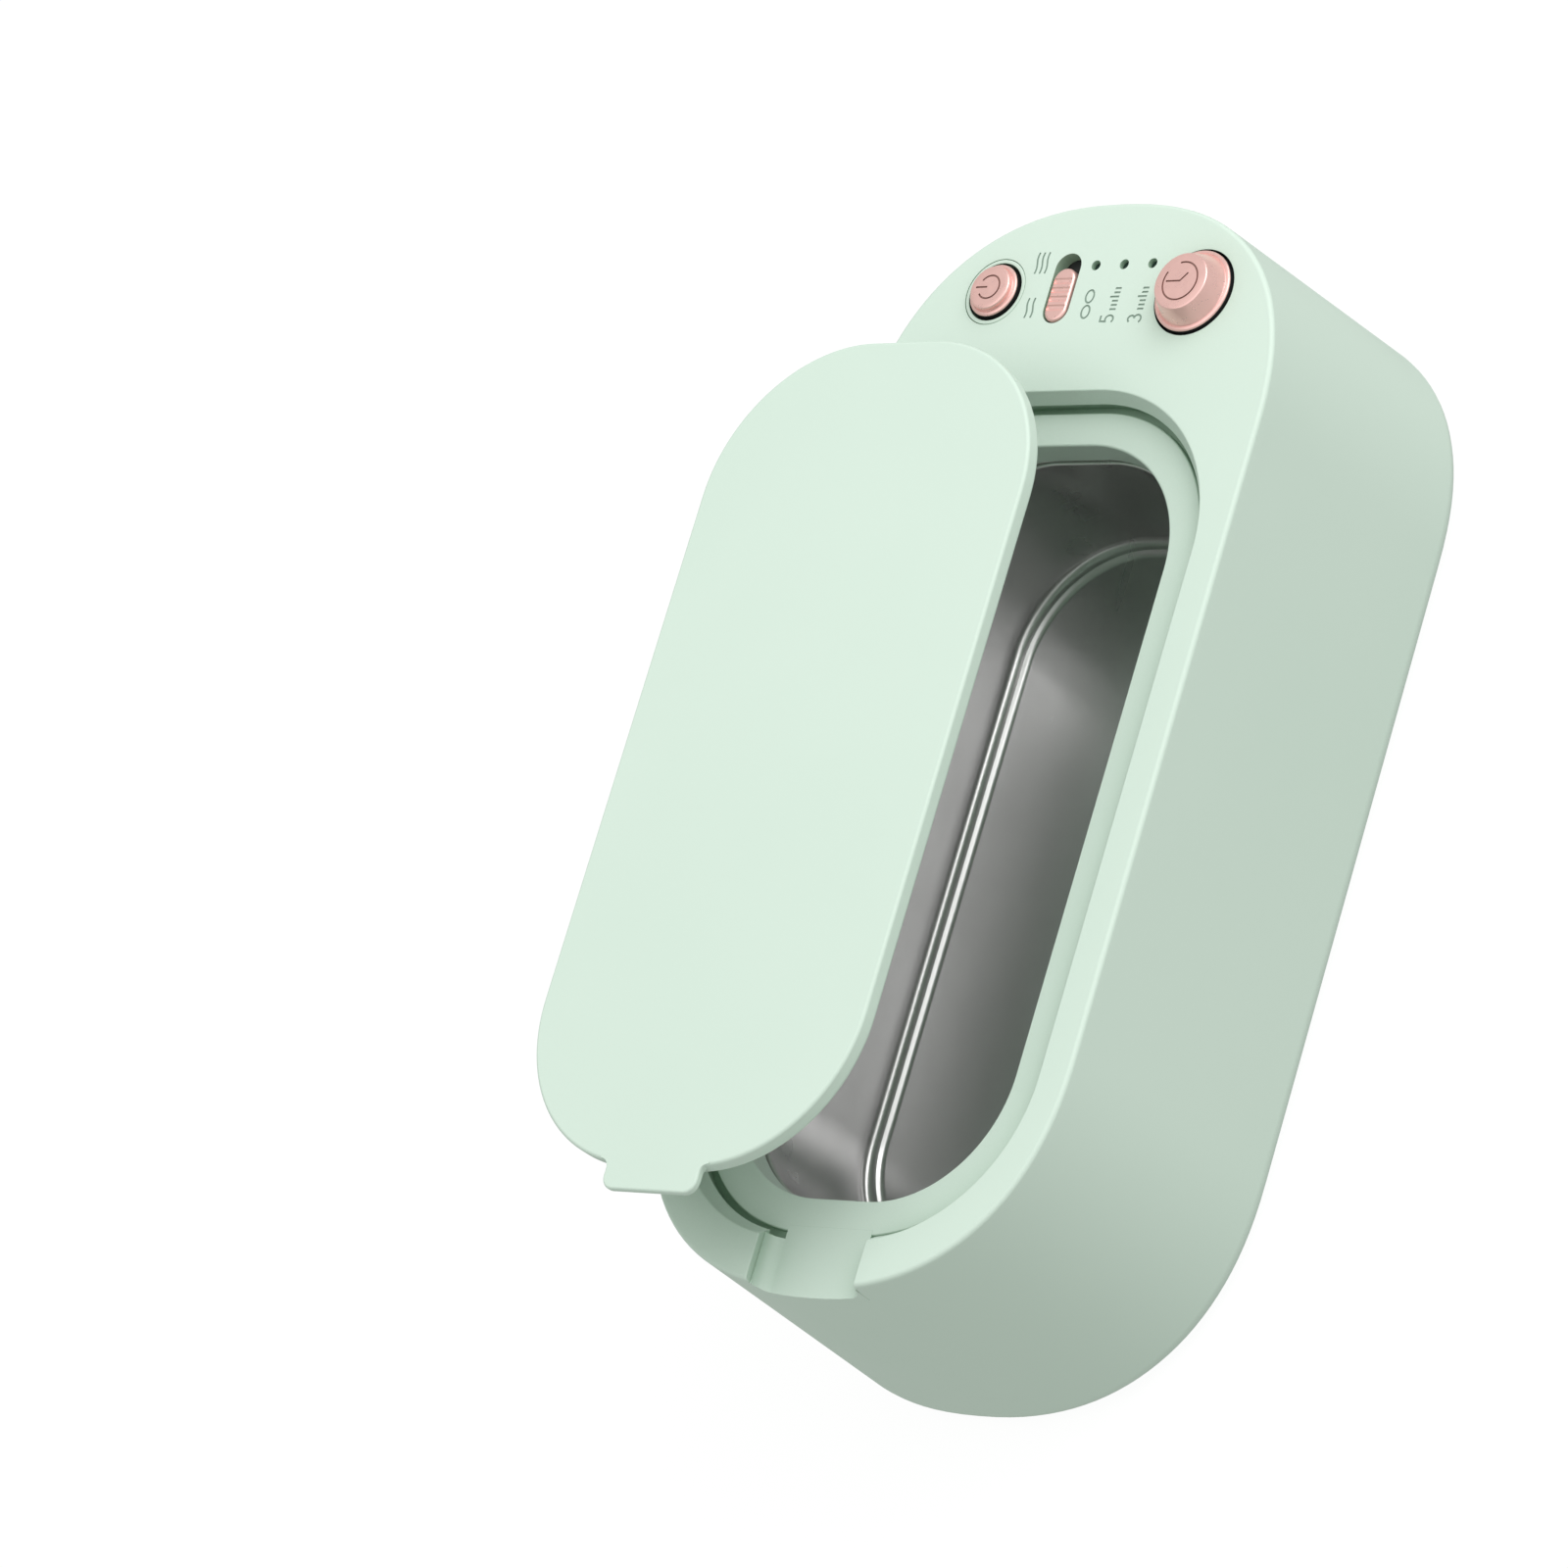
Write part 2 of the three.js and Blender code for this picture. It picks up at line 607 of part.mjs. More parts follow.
// The slider's stem travels in the groove of this switch.
function modeSwitch() {
  const y = SLOT.y;
  const high = 51;
  const body = box(SLOT.x - 2.2, SLOT.x + 2.2, y - 4.6, y + 4.6, CONTROL_BOARD_TOP + 0.1, high);
  return body.subtract(box(SLOT.x - 1.2, SLOT.x + 1.2, y - 2.6, y + 2.6, high - 1.2, high + 1));
}

function tactSwitch({ x, y }) {
  const half = SWITCH.side / 2;
  const low = CONTROL_BOARD_TOP + 0.1;
  const body = box(x - half, x + half, y - half, y + half, low, low + SWITCH.height);
  return body.add(bar(x, y, SWITCH.plungerRadius, low + 1, SWITCH.plungerTop, 12));
}

function lightPipe(x) {
  const flangeLow = DECK_UNDERSIDE - 1.1;
  const flangeTop = DECK_UNDERSIDE - 0.1;
  const radius = LED_HOLE - 0.1;
  const low = CONTROL_BOARD_TOP + 1.4;
  const top = TOP - 0.8;
  const profile = [[0, low], [radius, low], [radius, flangeLow], [1.5, flangeLow], [1.5, flangeTop]];
  return turned(x, LED_Y, [...profile, [radius, flangeTop], [radius, top], [0, top]], 8);
}

function led(x) {
  return box(x - 0.8, x + 0.8, LED_Y - 0.6, LED_Y + 0.6, CONTROL_BOARD_TOP + 0.1, CONTROL_BOARD_TOP + 1.1);
}

// ---------------------------------------------------------------- electronics

function controlBoard() {
  const shape = new THREE.Shape();
  shape.moveTo(-29, 71.3);
  shape.lineTo(31.5, 71.3);
  shape.lineTo(31.5, 85);
  shape.lineTo(18, 94.2);
  shape.lineTo(-18, 94.2);
  shape.lineTo(-29, 86);
  let board = plate(shape, CONTROL_BOARD_TOP - BOARD, CONTROL_BOARD_TOP);
  for (const [x, y] of CONTROL_POSTS) board = board.subtract(bar(x, y, 1.2, 40, 50, 10));
  return board;
}

function mainBoard() {
  const outline = roundedRectangle(-28, 28, 60, 91, 2);
  let board = plate(outline, MAIN_BOARD_TOP - BOARD, MAIN_BOARD_TOP, 2);
  for (const [x, y] of MAIN_POSTS) board = board.subtract(bar(x, y, 1.2, 5, 15, 10));
  return board;
}

const ON_BOARD = MAIN_BOARD_TOP + 0.1;

function transformer() {
  const core = box(-20, -4, 66, 80, ON_BOARD, ON_BOARD + 13);
  const window = box(-21, -3, 68.5, 77.5, ON_BOARD + 3, ON_BOARD + 10);
  const winding = box(-18.5, -5.5, 64.5, 81.5, ON_BOARD + 3.5, ON_BOARD + 9.5);
  return core.subtract(window).add(winding);
}

function inductor() {
  const height = 11;
  const waist = [[6.5, 1.5], [5, 2.4], [5, 8.6], [6.5, 9.5]];
  const profile = [[0, 0], [6.5, 0], ...waist, [6.5, height], [0, height]];
  return turned(8, 69, profile.map(([radius, z]) => [radius, z + ON_BOARD]), 20);
}

function capacitor() {
  const profile = [[0, 0], [5, 0], [5, 1.2], [4.7, 1.8], [5, 2.4], [5, 17.4], [4.4, 18], [0, 18]];
  return turned(20, 75, profile.map(([radius, z]) => [radius, z + ON_BOARD]), 20);
}

function powerTransistor() {
  const body = box(-2, 8, 81.4, 85.6, ON_BOARD + 3.5, ON_BOARD + 13);
  const legs = [0.5, 3, 5.5].map((x) => box(x - 0.4, x + 0.4, 83, 83.6, ON_BOARD, ON_BOARD + 4));
  return legs.reduce((shape, leg) => shape.add(leg), body);
}

function heatSink() {
  const high = ON_BOARD + 15;
  let shape = box(-4, 10, 79.6, 81.1, ON_BOARD, high);
  for (const x of [-3.4, 0, 3, 6, 9.4]) {
    shape = shape.add(box(x - 0.5, x + 0.5, 76.6, 80, ON_BOARD, high));
  }
  return shape;
}

function piezoDisc() {
  const high = TANK_FLOOR - SHEET - BOND - 0.2;
  return bar(0, RECESS_Y, DISC_RADIUS, high - DISC_HEIGHT, high, 32);
}

function piezoBond() {
  const high = TANK_FLOOR - SHEET - 0.1;
  return bar(0, RECESS_Y, DISC_RADIUS - 0.7, high - BOND, high, 32);
}

function roundSection(radius, sides) {
  const angles = Array.from({ length: sides }, (_, i) => (i / sides) * 2 * Math.PI);
  const points = angles.map((a) => new THREE.Vector2(radius * Math.cos(a), radius * Math.sin(a)));
  return new THREE.Shape(points);
}

// A lead from under the disc to the edge of the main board.
function discLead(side) {
  const z = TANK_FLOOR - SHEET - BOND - DISC_HEIGHT - 1.2;
  const points = [
    [side * 3, RECESS_Y + 2, z],
    [side * 4, RECESS_Y + 22, z - 2.4],
    [side * 9, 24, z - 2.8],
    [side * 7, 46, z - 1.6],
    [side * 6, 58, z + 0.6],
    [side * 6, 62, z + 1.6],
  ];
  return wire(points, roundSection(0.6, 6), 16);
}

function boardCable() {
  const section = new THREE.Shape();
  section.moveTo(-3.5, -0.4);
  section.lineTo(3.5, -0.4);
  section.lineTo(3.5, 0.4);
  section.lineTo(-3.5, 0.4);
  const low = MAIN_BOARD_TOP + 0.6;
  const high = CONTROL_BOARD_TOP - BOARD - 0.6;
  const points = [
    [10, 88, low],
    [10, 88.1, low + 3],
    [10, 91, low + 9],
    [10, 91, high - 9],
    [10, 88.1, high - 3],
    [10, 88, high],
  ];
  return wire(points, section, 14);
}

function powerInlet() {
  const low = ON_BOARD + 0.1;
  const high = 2 * INLET.z - low;
  const front = LENGTH / 2 - 1;
  const mouth = LENGTH / 2 + 1.3;
  const noseOf = (radius, y0, y1, sides) => {
    const geometry = new THREE.CylinderGeometry(radius, radius, y1 - y0, sides);
    geometry.translate(0, (y0 + y1) / 2, INLET.z);
    return solid(geometry);
  };
  const body = box(-INLET.halfWidth, INLET.halfWidth, INLET.back, front, low, high);
  const nose = noseOf(INLET.radius, front - 0.5, mouth, 24);
  const bore = noseOf(INLET.bore, INLET.back + 2.5, mouth + 1, 16);
  return body.add(nose).subtract(bore).add(noseOf(INLET.pin, INLET.back + 1, mouth - 1.5, 8));
}

// ---------------------------------------------------------------- materials

const FINISHES = {
  mint: [0xd6ebdd, 0.55, 0],
  mintInside: [0xc6dfd0, 0.6, 0],
  steel: [0xb4b8b6, 0.28, 1],
  rose: [0xe2a79f, 0.3, 0.8],
  rubber: [0x3a3d3c, 0.9, 0],
  silicone: [0xe8e8e2, 0.7, 0],
  board: [0x1f5a3c, 0.6, 0],
  black: [0x1d1f20, 0.5, 0],
  ferrite: [0x3b3836, 0.8, 0],
  copper: [0xb5713a, 0.4, 0.8],
  aluminium: [0xc5c8ca, 0.4, 1],
  screw: [0xa9adb0, 0.35, 1],
  ceramic: [0xd9cfb8, 0.5, 0],
  epoxy: [0x6b5f4a, 0.6, 0],
  clear: [0xf2f5f2, 0.2, 0],
  red: [0xb52b25, 0.5, 0],
  grey: [0x8d9190, 0.6, 0],
};

function finish(name) {
  const [color, roughness, metalness] = FINISHES[name];
  return new THREE.MeshStandardMaterial({ name, color, roughness, metalness });
}

// ---------------------------------------------------------------- assembly

const cleaner = new THREE.Group();

function place(name, shape, finishName, parent = cleaner) {
  const mesh = new THREE.Mesh(geometryOf(shape), finish(finishName));
  mesh.name = name;
  parent.add(mesh);
  return mesh;
}

place("housing", housing(), "mint");
place("base_cover", baseCover(), "mintInside");
place("tank_trim", tankTrim(), "mint");
place("tank", tank(), "steel");
place("tank_gasket", gasket(), "silicone");
clampPlaces().forEach((spot, i) => {
  const [x, y] = spot;
  const low = FLANGE_TOP - SHEET - GAP - CLAMP_THICKNESS - 0.1;
  place(`tank_clamp_${i + 1}`, clamp(spot), "aluminium");
  place(`clamp_screw_${i + 1}`, screwUp(x, y, 2.1, 1.3, 1, low - 1.3, SKIRT_END + 1.8), "screw");
});

place("lid", lid(), "mint").position.copy(LIFT);

place("power_button", pushButton(POWER), "rose");
place("power_button_ring", powerRing(), "mint");
place("timer_button", pushButton(TIMER), "rose");
place("mode_slider", modeSlider(), "rose");
LED_X.forEach((x, i) => {
  place(`light_pipe_${i + 1}`, lightPipe(x), "clear");
  place(`led_${i + 1}`, led(x), "clear");
});

place("control_board", controlBoard(), "board");
place("power_switch", tactSwitch(POWER), "black");
place("timer_switch", tactSwitch(TIMER), "black");
place("mode_switch", modeSwitch(), "black");
CONTROL_POSTS.forEach(([x, y], i) => {
  const low = CONTROL_BOARD_TOP - BOARD - 0.1;
  place(`control_screw_${i + 1}`, screwUp(x, y, 1.8, 1, 0.8, low - 1, low + 5), "screw");
});

place("main_board", mainBoard(), "board");
place("transformer", transformer(), "ferrite");
place("inductor", inductor(), "copper");
place("capacitor", capacitor(), "black");
place("power_transistor", powerTransistor(), "black");
place("heat_sink", heatSink(), "aluminium");
place("power_inlet", powerInlet(), "black");
MAIN_POSTS.forEach(([x, y], i) => {
  const high = MAIN_BOARD_TOP + 1.1;
  place(`board_screw_${i + 1}`, screwDown(x, y, 1.8, 1, 0.8, high - 6, high), "screw");
});

place("piezo_disc", piezoDisc(), "ceramic");
place("piezo_bond", piezoBond(), "epoxy");
place("disc_lead_1", discLead(-1), "red");
place("disc_lead_2", discLead(1), "black");
place("board_cable", boardCable(), "grey");

FEET.forEach(([x, y], i) => place(`foot_${i + 1}`, foot(x, y), "rubber"));
BASE_SCREWS.forEach(([x, y], i) => {
  place(`base_screw_${i + 1}`, screwUp(x, y, 2.7, 1.3, 1, BASE + 0.4, BASE + 14), "screw");
});

export default cleaner;
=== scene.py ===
# A compact ultrasonic cleaner for jewellery and glasses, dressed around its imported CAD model.
#
# Metres, +Z up, in the CAD's frame: X is the width, Y the length with the control panel at +Y.
# Lengths below are written in millimetres and turned into metres as the meshes are made.

import math

import bmesh
import bpy
from mathutils import Matrix, Vector


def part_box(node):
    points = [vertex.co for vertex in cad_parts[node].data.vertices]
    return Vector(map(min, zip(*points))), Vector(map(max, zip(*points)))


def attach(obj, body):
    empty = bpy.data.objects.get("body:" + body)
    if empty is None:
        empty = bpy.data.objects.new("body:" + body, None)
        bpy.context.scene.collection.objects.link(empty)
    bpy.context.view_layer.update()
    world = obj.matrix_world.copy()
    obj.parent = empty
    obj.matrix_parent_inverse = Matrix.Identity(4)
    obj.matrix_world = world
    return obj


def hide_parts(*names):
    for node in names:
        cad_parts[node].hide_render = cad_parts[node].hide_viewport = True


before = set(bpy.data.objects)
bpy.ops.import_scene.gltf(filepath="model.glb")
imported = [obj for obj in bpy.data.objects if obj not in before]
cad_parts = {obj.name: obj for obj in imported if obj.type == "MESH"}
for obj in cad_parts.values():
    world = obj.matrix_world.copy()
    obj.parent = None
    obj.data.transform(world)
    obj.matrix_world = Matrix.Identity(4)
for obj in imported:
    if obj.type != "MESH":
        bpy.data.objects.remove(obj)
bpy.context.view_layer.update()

MM = 0.001


def cad_box(node):
    """A node's lowest and highest corners at rest, in millimetres."""
    low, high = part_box(node)
    return [value / MM for value in low], [value / MM for value in high]


def middle(node):
    low, high = cad_box(node)
    return [(a + b) / 2 for a, b in zip(low, high)]


# ------------------------------------------------------------------ dimensions

HOUSING_LOW, HOUSING_HIGH = cad_box("housing")
BASE = HOUSING_LOW[2]
TOP = HOUSING_HIGH[2]
HEIGHT = TOP - BASE
WIDTH = 87.3  # of the deck, as is the length
LENGTH = 200
FLARE = 2.4  # the foot is this much wider than the deck, on each side
WALL = 2.2
UNDER = TOP - 2.5  # the deck's underside
TOP_EDGE = 0.8  # edge radii
BOTTOM_EDGE = 4
BASE_INSET = 6.2  # from the foot's outline to the opening for the base cover
GAP = 0.3  # between pieces that meet
FINE_GAP = 0.1  # between pieces that sit close

# Offsets are measured inwards from the outline of the lid's recess.
RECESS_LENGTH = 155.2
RECESS_Y = -13.55
RECESS_END = RECESS_Y - RECESS_LENGTH / 2  # the recess's -Y end
RECESS_SLOPE = 1.5  # the recess wall leans in by this much over the deck's thickness
LEDGE = TOP - 3.94  # the lid sits on it
LEDGE_FALL = 0.2  # it drains towards the tank
LEDGE_OFFSET = 2.35
DRIP_OFFSET = 1  # the drip groove round the ledge starts here
DRIP_FLOOR = LEDGE - 1.16
RING_UNDER = LEDGE - 2.76
MOUTH_OFFSET = 8.475
SKIRT_OFFSETS = (4.6, 7.1)  # where the skirt's foot reaches out to, and where its back lies
SKIRT_END = TOP - 9.5

SHEET = 0.6
TANK_FLOOR = TOP - 40.5
TANK_BEND = 1.8
TANK_STEP = 0.85  # the floor lies this much below the ring round it
TANK_MOUTH_OFFSET = 8.9
TANK_FOOT_OFFSET = 9
TANK_FLANGE_OFFSET = 3.6
FLANGE_TOP = SKIRT_END - 0.9
FLOOR_OFFSET = 26  # the floor's mesh is capped from here inwards

LID_OFFSET = 2.4
LID_THICKNESS = 3.2
TAB_HALF_WIDTH = 10.2
TAB_REACH = 4.7
TAB_THICKNESS = 1.4
NOTCH_HALF_WIDTH = 11.5
NOTCH_GAP = 0.01  # too fine to show, as the photograph has no line round the tongue
TONGUE_REACH = 0.05  # beyond the housing's end
TONGUE_THICKNESS = 1.4
TONGUE_FILLET = 2.6  # where the tongue turns up along each side of the notch
TONGUE_UPSTAND = 0.3  # its thickness there
BRIDGE_HALF_WIDTH = 9  # where it joins the ledge
BRIDGE_LAP = 1  # how far the join reaches into the tongue and into the ledge

POWER = {"radius": 4.95, "face": 4.05, "rise": 1.9, "hole": 5.5}
POWER_RING = {"outer": 6.25, "height": 0.8}
RING_SEAT = POWER_RING["outer"] + FINE_GAP
TIMER = {"radius": 7.65, "face": 5.1, "rise": 4.3, "hole": 8.15}
FLANGE_REACH = 1  # how far a button's retaining flange reaches past its hole
FLANGE_THICKNESS = 1.1
SLIDER_HALF_WIDTH = 2.3
SLIDER_HALF_LENGTH = 5.15
SLOT_HALF_WIDTH = 2.76
SLOT_HALF_LENGTH = 6.7
LED_HOLE = 0.95
INLET_RADIUS = 4.2
INLET_BORE = 3
SCREW_HOLE = 1.7
SCREW_WELL = 3
FOOT_RADIUS = 5.7

CORNER_STEPS = 30

# ------------------------------------------------------------------ meshes


def new_object(name, mesh):
    piece = bpy.data.objects.new(name, mesh)
    bpy.context.scene.collection.objects.link(piece)
    return piece


def object_from(name, verts, faces):
    """An object from millimetre points, with the points that coincide joined."""
    data = bpy.data.meshes.new(name)
    data.from_pydata([(x * MM, y * MM, z * MM) for x, y, z in verts], [], faces)
    mesh = bmesh.new()
    mesh.from_mesh(data)
    bmesh.ops.remove_doubles(mesh, verts=mesh.verts, dist=0.003 * MM)
    mesh.to_mesh(data)
    mesh.free()
    return new_object(name, data)


def settle(piece):
    """Swaps an object's mesh for the one that its modifiers give."""
    graph = bpy.context.evaluated_depsgraph_get()
    mesh = bpy.data.meshes.new_from_object(piece.evaluated_get(graph))
    mesh.name = piece.name
    piece.modifiers.clear()
    piece.data = mesh
    return piece


def combine(piece, tools, operation):
    """Cuts, joins or intersects a piece with each tool, and uses the tools up."""
    for tool in tools:
        modifier = piece.modifiers.new(operation, "BOOLEAN")
        modifier.operation = operation
        modifier.solver = "EXACT"
        modifier.material_mode = "TRANSFER"
        modifier.object = tool
        settle(piece)
        bpy.data.objects.remove(tool)
    return piece


def merged(name, parts):
    """One object from several that stand apart."""
    mesh = bmesh.new()
    for part in parts:
        mesh.from_mesh(part.data)
        bpy.data.objects.remove(part)
    data = bpy.data.meshes.new(name)
    mesh.to_mesh(data)
    mesh.free()
    return new_object(name, data)


def finish_shading(piece, angle=40):
    """Smooth faces, with weighted normals so that the flats stay flat."""
    mesh = piece.data
    mesh.polygons.foreach_set("use_smooth", [True] * len(mesh.polygons))
    mesh.set_sharp_from_angle(angle=math.radians(angle))
    modifier = piece.modifiers.new("normals", "WEIGHTED_NORMAL")
    modifier.keep_sharp = True
    modifier.weight = 100
    return settle(piece)


def bevel_edges(piece, wanted, width, segments=3):
    """Rounds the edges that `wanted` picks, each given in millimetres."""
    mesh = bmesh.new()
    mesh.from_mesh(piece.data)
    edges = [edge for edge in mesh.edges if wanted(edge)]
    bmesh.ops.bevel(
        mesh,
        geom=edges,
        offset=width * MM,
        segments=segments,
        profile=0.5,
        affect="EDGES",
        clamp_overlap=True,
    )
    mesh.to_mesh(piece.data)
    mesh.free()
    return piece


def loft(name, loops, closed=False, capped=True):
    """Skins loops of points that go up the outside."""
    count = len(loops[0])
    verts = [point for loop in loops for point in loop]
    faces = []
    rows = len(loops) if closed else len(loops) - 1
    for row in range(rows):
        low = row * count
        high = ((row + 1) % len(loops)) * count
        for i in range(count):
            j = (i + 1) % count
            faces.append((low + i, low + j, high + j, high + i))
    if capped and not closed:
        last = (len(loops) - 1) * count
        faces.append(tuple(reversed(range(count))))
        faces.append(tuple(range(last, last + count)))
    return object_from(name, verts, faces)


def block(x0, x1, y0, y1, z0, z1):
    loops = [[(x0, y0, z), (x1, y0, z), (x1, y1, z), (x0, y1, z)] for z in (z0, z1)]
    return loft("block", loops)


def circle(x, y, radius, z, sides):
    turn = 2 * math.pi / sides
    return [(x + radius * math.cos(i * turn), y + radius * math.sin(i * turn), z) for i in range(sides)]


def lathe(name, x, y, profile, sides=96):
    """A turned piece, from a list of (radius, height) that goes up the outside."""
    return loft(name, [circle(x, y, max(radius, 0.001), z, sides) for radius, z in profile])


def tube(name, x, y, profile, sides=96):
    return loft(name, [circle(x, y, radius, z, sides) for radius, z in profile], closed=True)


def rounded(corners, closed=False, steps=6):
    """A section with its corners rounded. Each corner is (across, height, radius)."""
    points = []
    count = len(corners)
    for i, (across, height, radius) in enumerate(corners):
        here = Vector((across, height))
        if radius == 0 or (not closed and i in (0, count - 1)):
            points.append((across, height))
            continue
        back = (Vector(corners[i - 1][:2]) - here).normalized()
        ahead = (Vector(corners[(i + 1) % count][:2]) - here).normalized()
        half = math.acos(max(-1, min(1, back.dot(ahead)))) / 2
        reach = radius / math.tan(half)
        centre = here + (back + ahead).normalized() * (radius / math.sin(half))
        start = here + back * reach - centre
        sweep = start.angle_signed(here + ahead * reach - centre)
        for step in range(steps + 1):
            angle = -sweep * step / steps
            points.append(tuple(centre + Matrix.Rotation(angle, 2) @ start))
    return points


# ------------------------------------------------------------------ outlines

BODY_FORM = {
    "half_x": WIDTH / 2,
    "half_y": LENGTH / 2,
    "end_x": WIDTH / 2,
    "end_y": 43.3,
    "power": 2.33,
    "shrink": 1,
    "y": 0,
}
RECESS_FORM = {
    "half_x": 37.5,
    "half_y": RECESS_LENGTH / 2,
    "end_x": 30.2,
    "end_y": 30.2,
    "power": 2,
    "shrink": 0.8,
    "y": RECESS_Y,
}


def outline(form, inset, z, steps=CORNER_STEPS):
    """A straight-sided outline with rounded ends, drawn in by inset."""
    half_x = form["half_x"] - inset
    half_y = form["half_y"] - inset
    end_x = min(form["end_x"] - form["shrink"] * inset, half_x)
    end_y = form["end_y"] - form["shrink"] * inset
    power = 2 / form["power"]
    points = []
    for side_x, side_y in ((1, 1), (-1, 1), (-1, -1), (1, -1)):
        for step in range(steps + 1):
            along = step if side_x == side_y else steps - step
            angle = along / steps * math.pi / 2
            x = half_x - end_x + end_x * abs(math.cos(angle)) ** power
            y = half_y - end_y + end_y * abs(math.sin(angle)) ** power
            points.append((side_x * x, form["y"] + side_y * y, z))
    return points


def body_loop(inset, z):
    return outline(BODY_FORM, inset - FLARE * (TOP - z) / HEIGHT, z)


def recess_loop(offset, z):
    return outline(RECESS_FORM, offset, z)


def stadium(x, y, half_width, half_length, z, steps=16):
    """A slot's outline with round ends along Y."""
    straight = half_length - half_width
    points = []
    for side, start in ((1, 0), (-1, math.pi)):
        for step in range(steps + 1):
            angle = start + math.pi * step / steps
            across = half_width * math.cos(angle)
            along = side * straight + half_width * math.sin(angle)
            points.append((x + across, y + along, z))
    return points


def rectangle_loop(x, y, half_x, half_y, radius, z, steps=8):
    """A rectangle with rounded corners."""
    points = []
    reach_x = half_x - radius
    reach_y = half_y - radius
    for quarter, (side_x, side_y) in enumerate(((1, 1), (-1, 1), (-1, -1), (1, -1))):
        for step in range(steps + 1):
            angle = (quarter + step / steps) * math.pi / 2
            across = side_x * reach_x + radius * math.cos(angle)
            along = side_y * reach_y + radius * math.sin(angle)
            points.append((x + across, y + along, z))
    return points


# ------------------------------------------------------------------ materials


class Nodes:
    """A material's nodes, with a principled shader and the object's own coordinates."""

    def __init__(self, name):
        self.material = bpy.data.materials.new(name)
        self.material.use_nodes = True
        self.tree = self.material.node_tree
        self.shader = self.tree.nodes["Principled BSDF"]
        self.place = self.tree.nodes.new("ShaderNodeTexCoord").outputs["Object"]

    def set(self, **values):
        for name, value in values.items():
            socket = self.shader.inputs[name.replace("_", " ")]
            socket.default_value = (*value, 1) if isinstance(value, tuple) and len(value) == 3 else value
        return self

    def join(self, output, socket):
        self.tree.links.new(output, socket)

    def noise(self, scale, detail=3, stretch=(1, 1, 1), roughness=0.5):
        mapping = self.tree.nodes.new("ShaderNodeMapping")
        mapping.inputs["Scale"].default_value = stretch
        texture = self.tree.nodes.new("ShaderNodeTexNoise")
        texture.inputs["Scale"].default_value = scale
        texture.inputs["Detail"].default_value = detail
        texture.inputs["Roughness"].default_value = roughness
        self.join(self.place, mapping.inputs["Vector"])
        self.join(mapping.outputs["Vector"], texture.inputs["Vector"])
        return texture.outputs["Fac"]

    def ramp(self, factor, stops):
        """A colour that runs through the stops, each given as (position, colour)."""
        ramp = self.tree.nodes.new("ShaderNodeValToRGB")
        elements = ramp.color_ramp.elements
        while len(elements) < len(stops):
            elements.new(0.5)
        for element, (position, colour) in zip(elements, stops):
            element.position = position
            element.color = (*colour, 1)
        self.join(factor, ramp.inputs["Fac"])
        return ramp.outputs["Color"]

    def grey_ramp(self, factor, stops):
        return self.ramp(factor, [(position, (value,) * 3) for position, value in stops])

    def spread(self, factor, low, high):
        """A value between low and high that follows a noise."""
        scale = self.tree.nodes.new("ShaderNodeMapRange")
        scale.inputs["From Min"].default_value = 0.3
        scale.inputs["From Max"].default_value = 0.7
        scale.inputs["To Min"].default_value = low
        scale.inputs["To Max"].default_value = high
        self.join(factor, scale.inputs["Value"])
        return scale.outputs["Result"]

    def blend(self, factor, first, second):
        """The first colour where the factor is 0, and the second where it is 1."""
        mix = self.tree.nodes.new("ShaderNodeMix")
        mix.data_type = "RGBA"
        self.join(factor, mix.inputs["Factor"])
        self.join(first, mix.inputs[6])
        self.join(second, mix.inputs[7])
        return mix.outputs[2]

    def shelter(self, reach, stops):
        """A grey value that follows how open the surface is to its surroundings within reach."""
        cover = self.tree.nodes.new("ShaderNodeAmbientOcclusion")
        cover.samples = 6
        cover.inputs["Distance"].default_value = reach
        return self.grey_ramp(cover.outputs["AO"], stops)

    def slope(self, stops):
        """A grey value that follows how far the surface leans away from upright."""
        surface = self.tree.nodes.new("ShaderNodeNewGeometry")
        split = self.tree.nodes.new("ShaderNodeSeparateXYZ")
        self.join(surface.outputs["Normal"], split.inputs["Vector"])
        return self.grey_ramp(split.outputs["Z"], stops)

    def bump(self, height, distance, strength):
        bump = self.tree.nodes.new("ShaderNodeBump")
        bump.inputs["Strength"].default_value = strength
        bump.inputs["Distance"].default_value = distance
        self.join(height, bump.inputs["Height"])
        self.join(bump.outputs["Normal"], self.shader.inputs["Normal"])

    def colour(self, output):
        self.join(output, self.shader.inputs["Base Color"])

    def rough(self, output):
        self.join(output, self.shader.inputs["Roughness"])


GLOSS_DRIFT = 0.05  # how far a finish's roughness strays to either side


def plastic(name, dark, light, roughness, grain=1900, depth=0.000012, painted_shade=None):
    """Moulded plastic with a fine spark-eroded grain and, if given, a darker colour painted in as shade where
    its surroundings close it in.
    """
    nodes = Nodes(name).set(Metallic=0.0, IOR=1.48, Specular_IOR_Level=0.42)
    drift = nodes.noise(14, 3)
    colour = nodes.ramp(drift, [(0.3, dark), (0.7, light)])
    if painted_shade:
        # painted shade: the darker colour takes over where ambient occlusion finds the surface hemmed in, in
        # recesses, creases and under the lid
        painted_shade_colour = nodes.ramp(drift, [(0.3, painted_shade), (0.7, [1.04 * part for part in painted_shade])])
        colour = nodes.blend(nodes.shelter(0.025, [(0.35, 0), (0.98, 1)]), painted_shade_colour, colour)
    nodes.colour(colour)
    nodes.rough(nodes.spread(nodes.noise(60, 4), roughness - GLOSS_DRIFT, roughness + GLOSS_DRIFT))
    nodes.bump(nodes.noise(grain, 2, roughness=0.6), depth, 0.5)
    return nodes.material


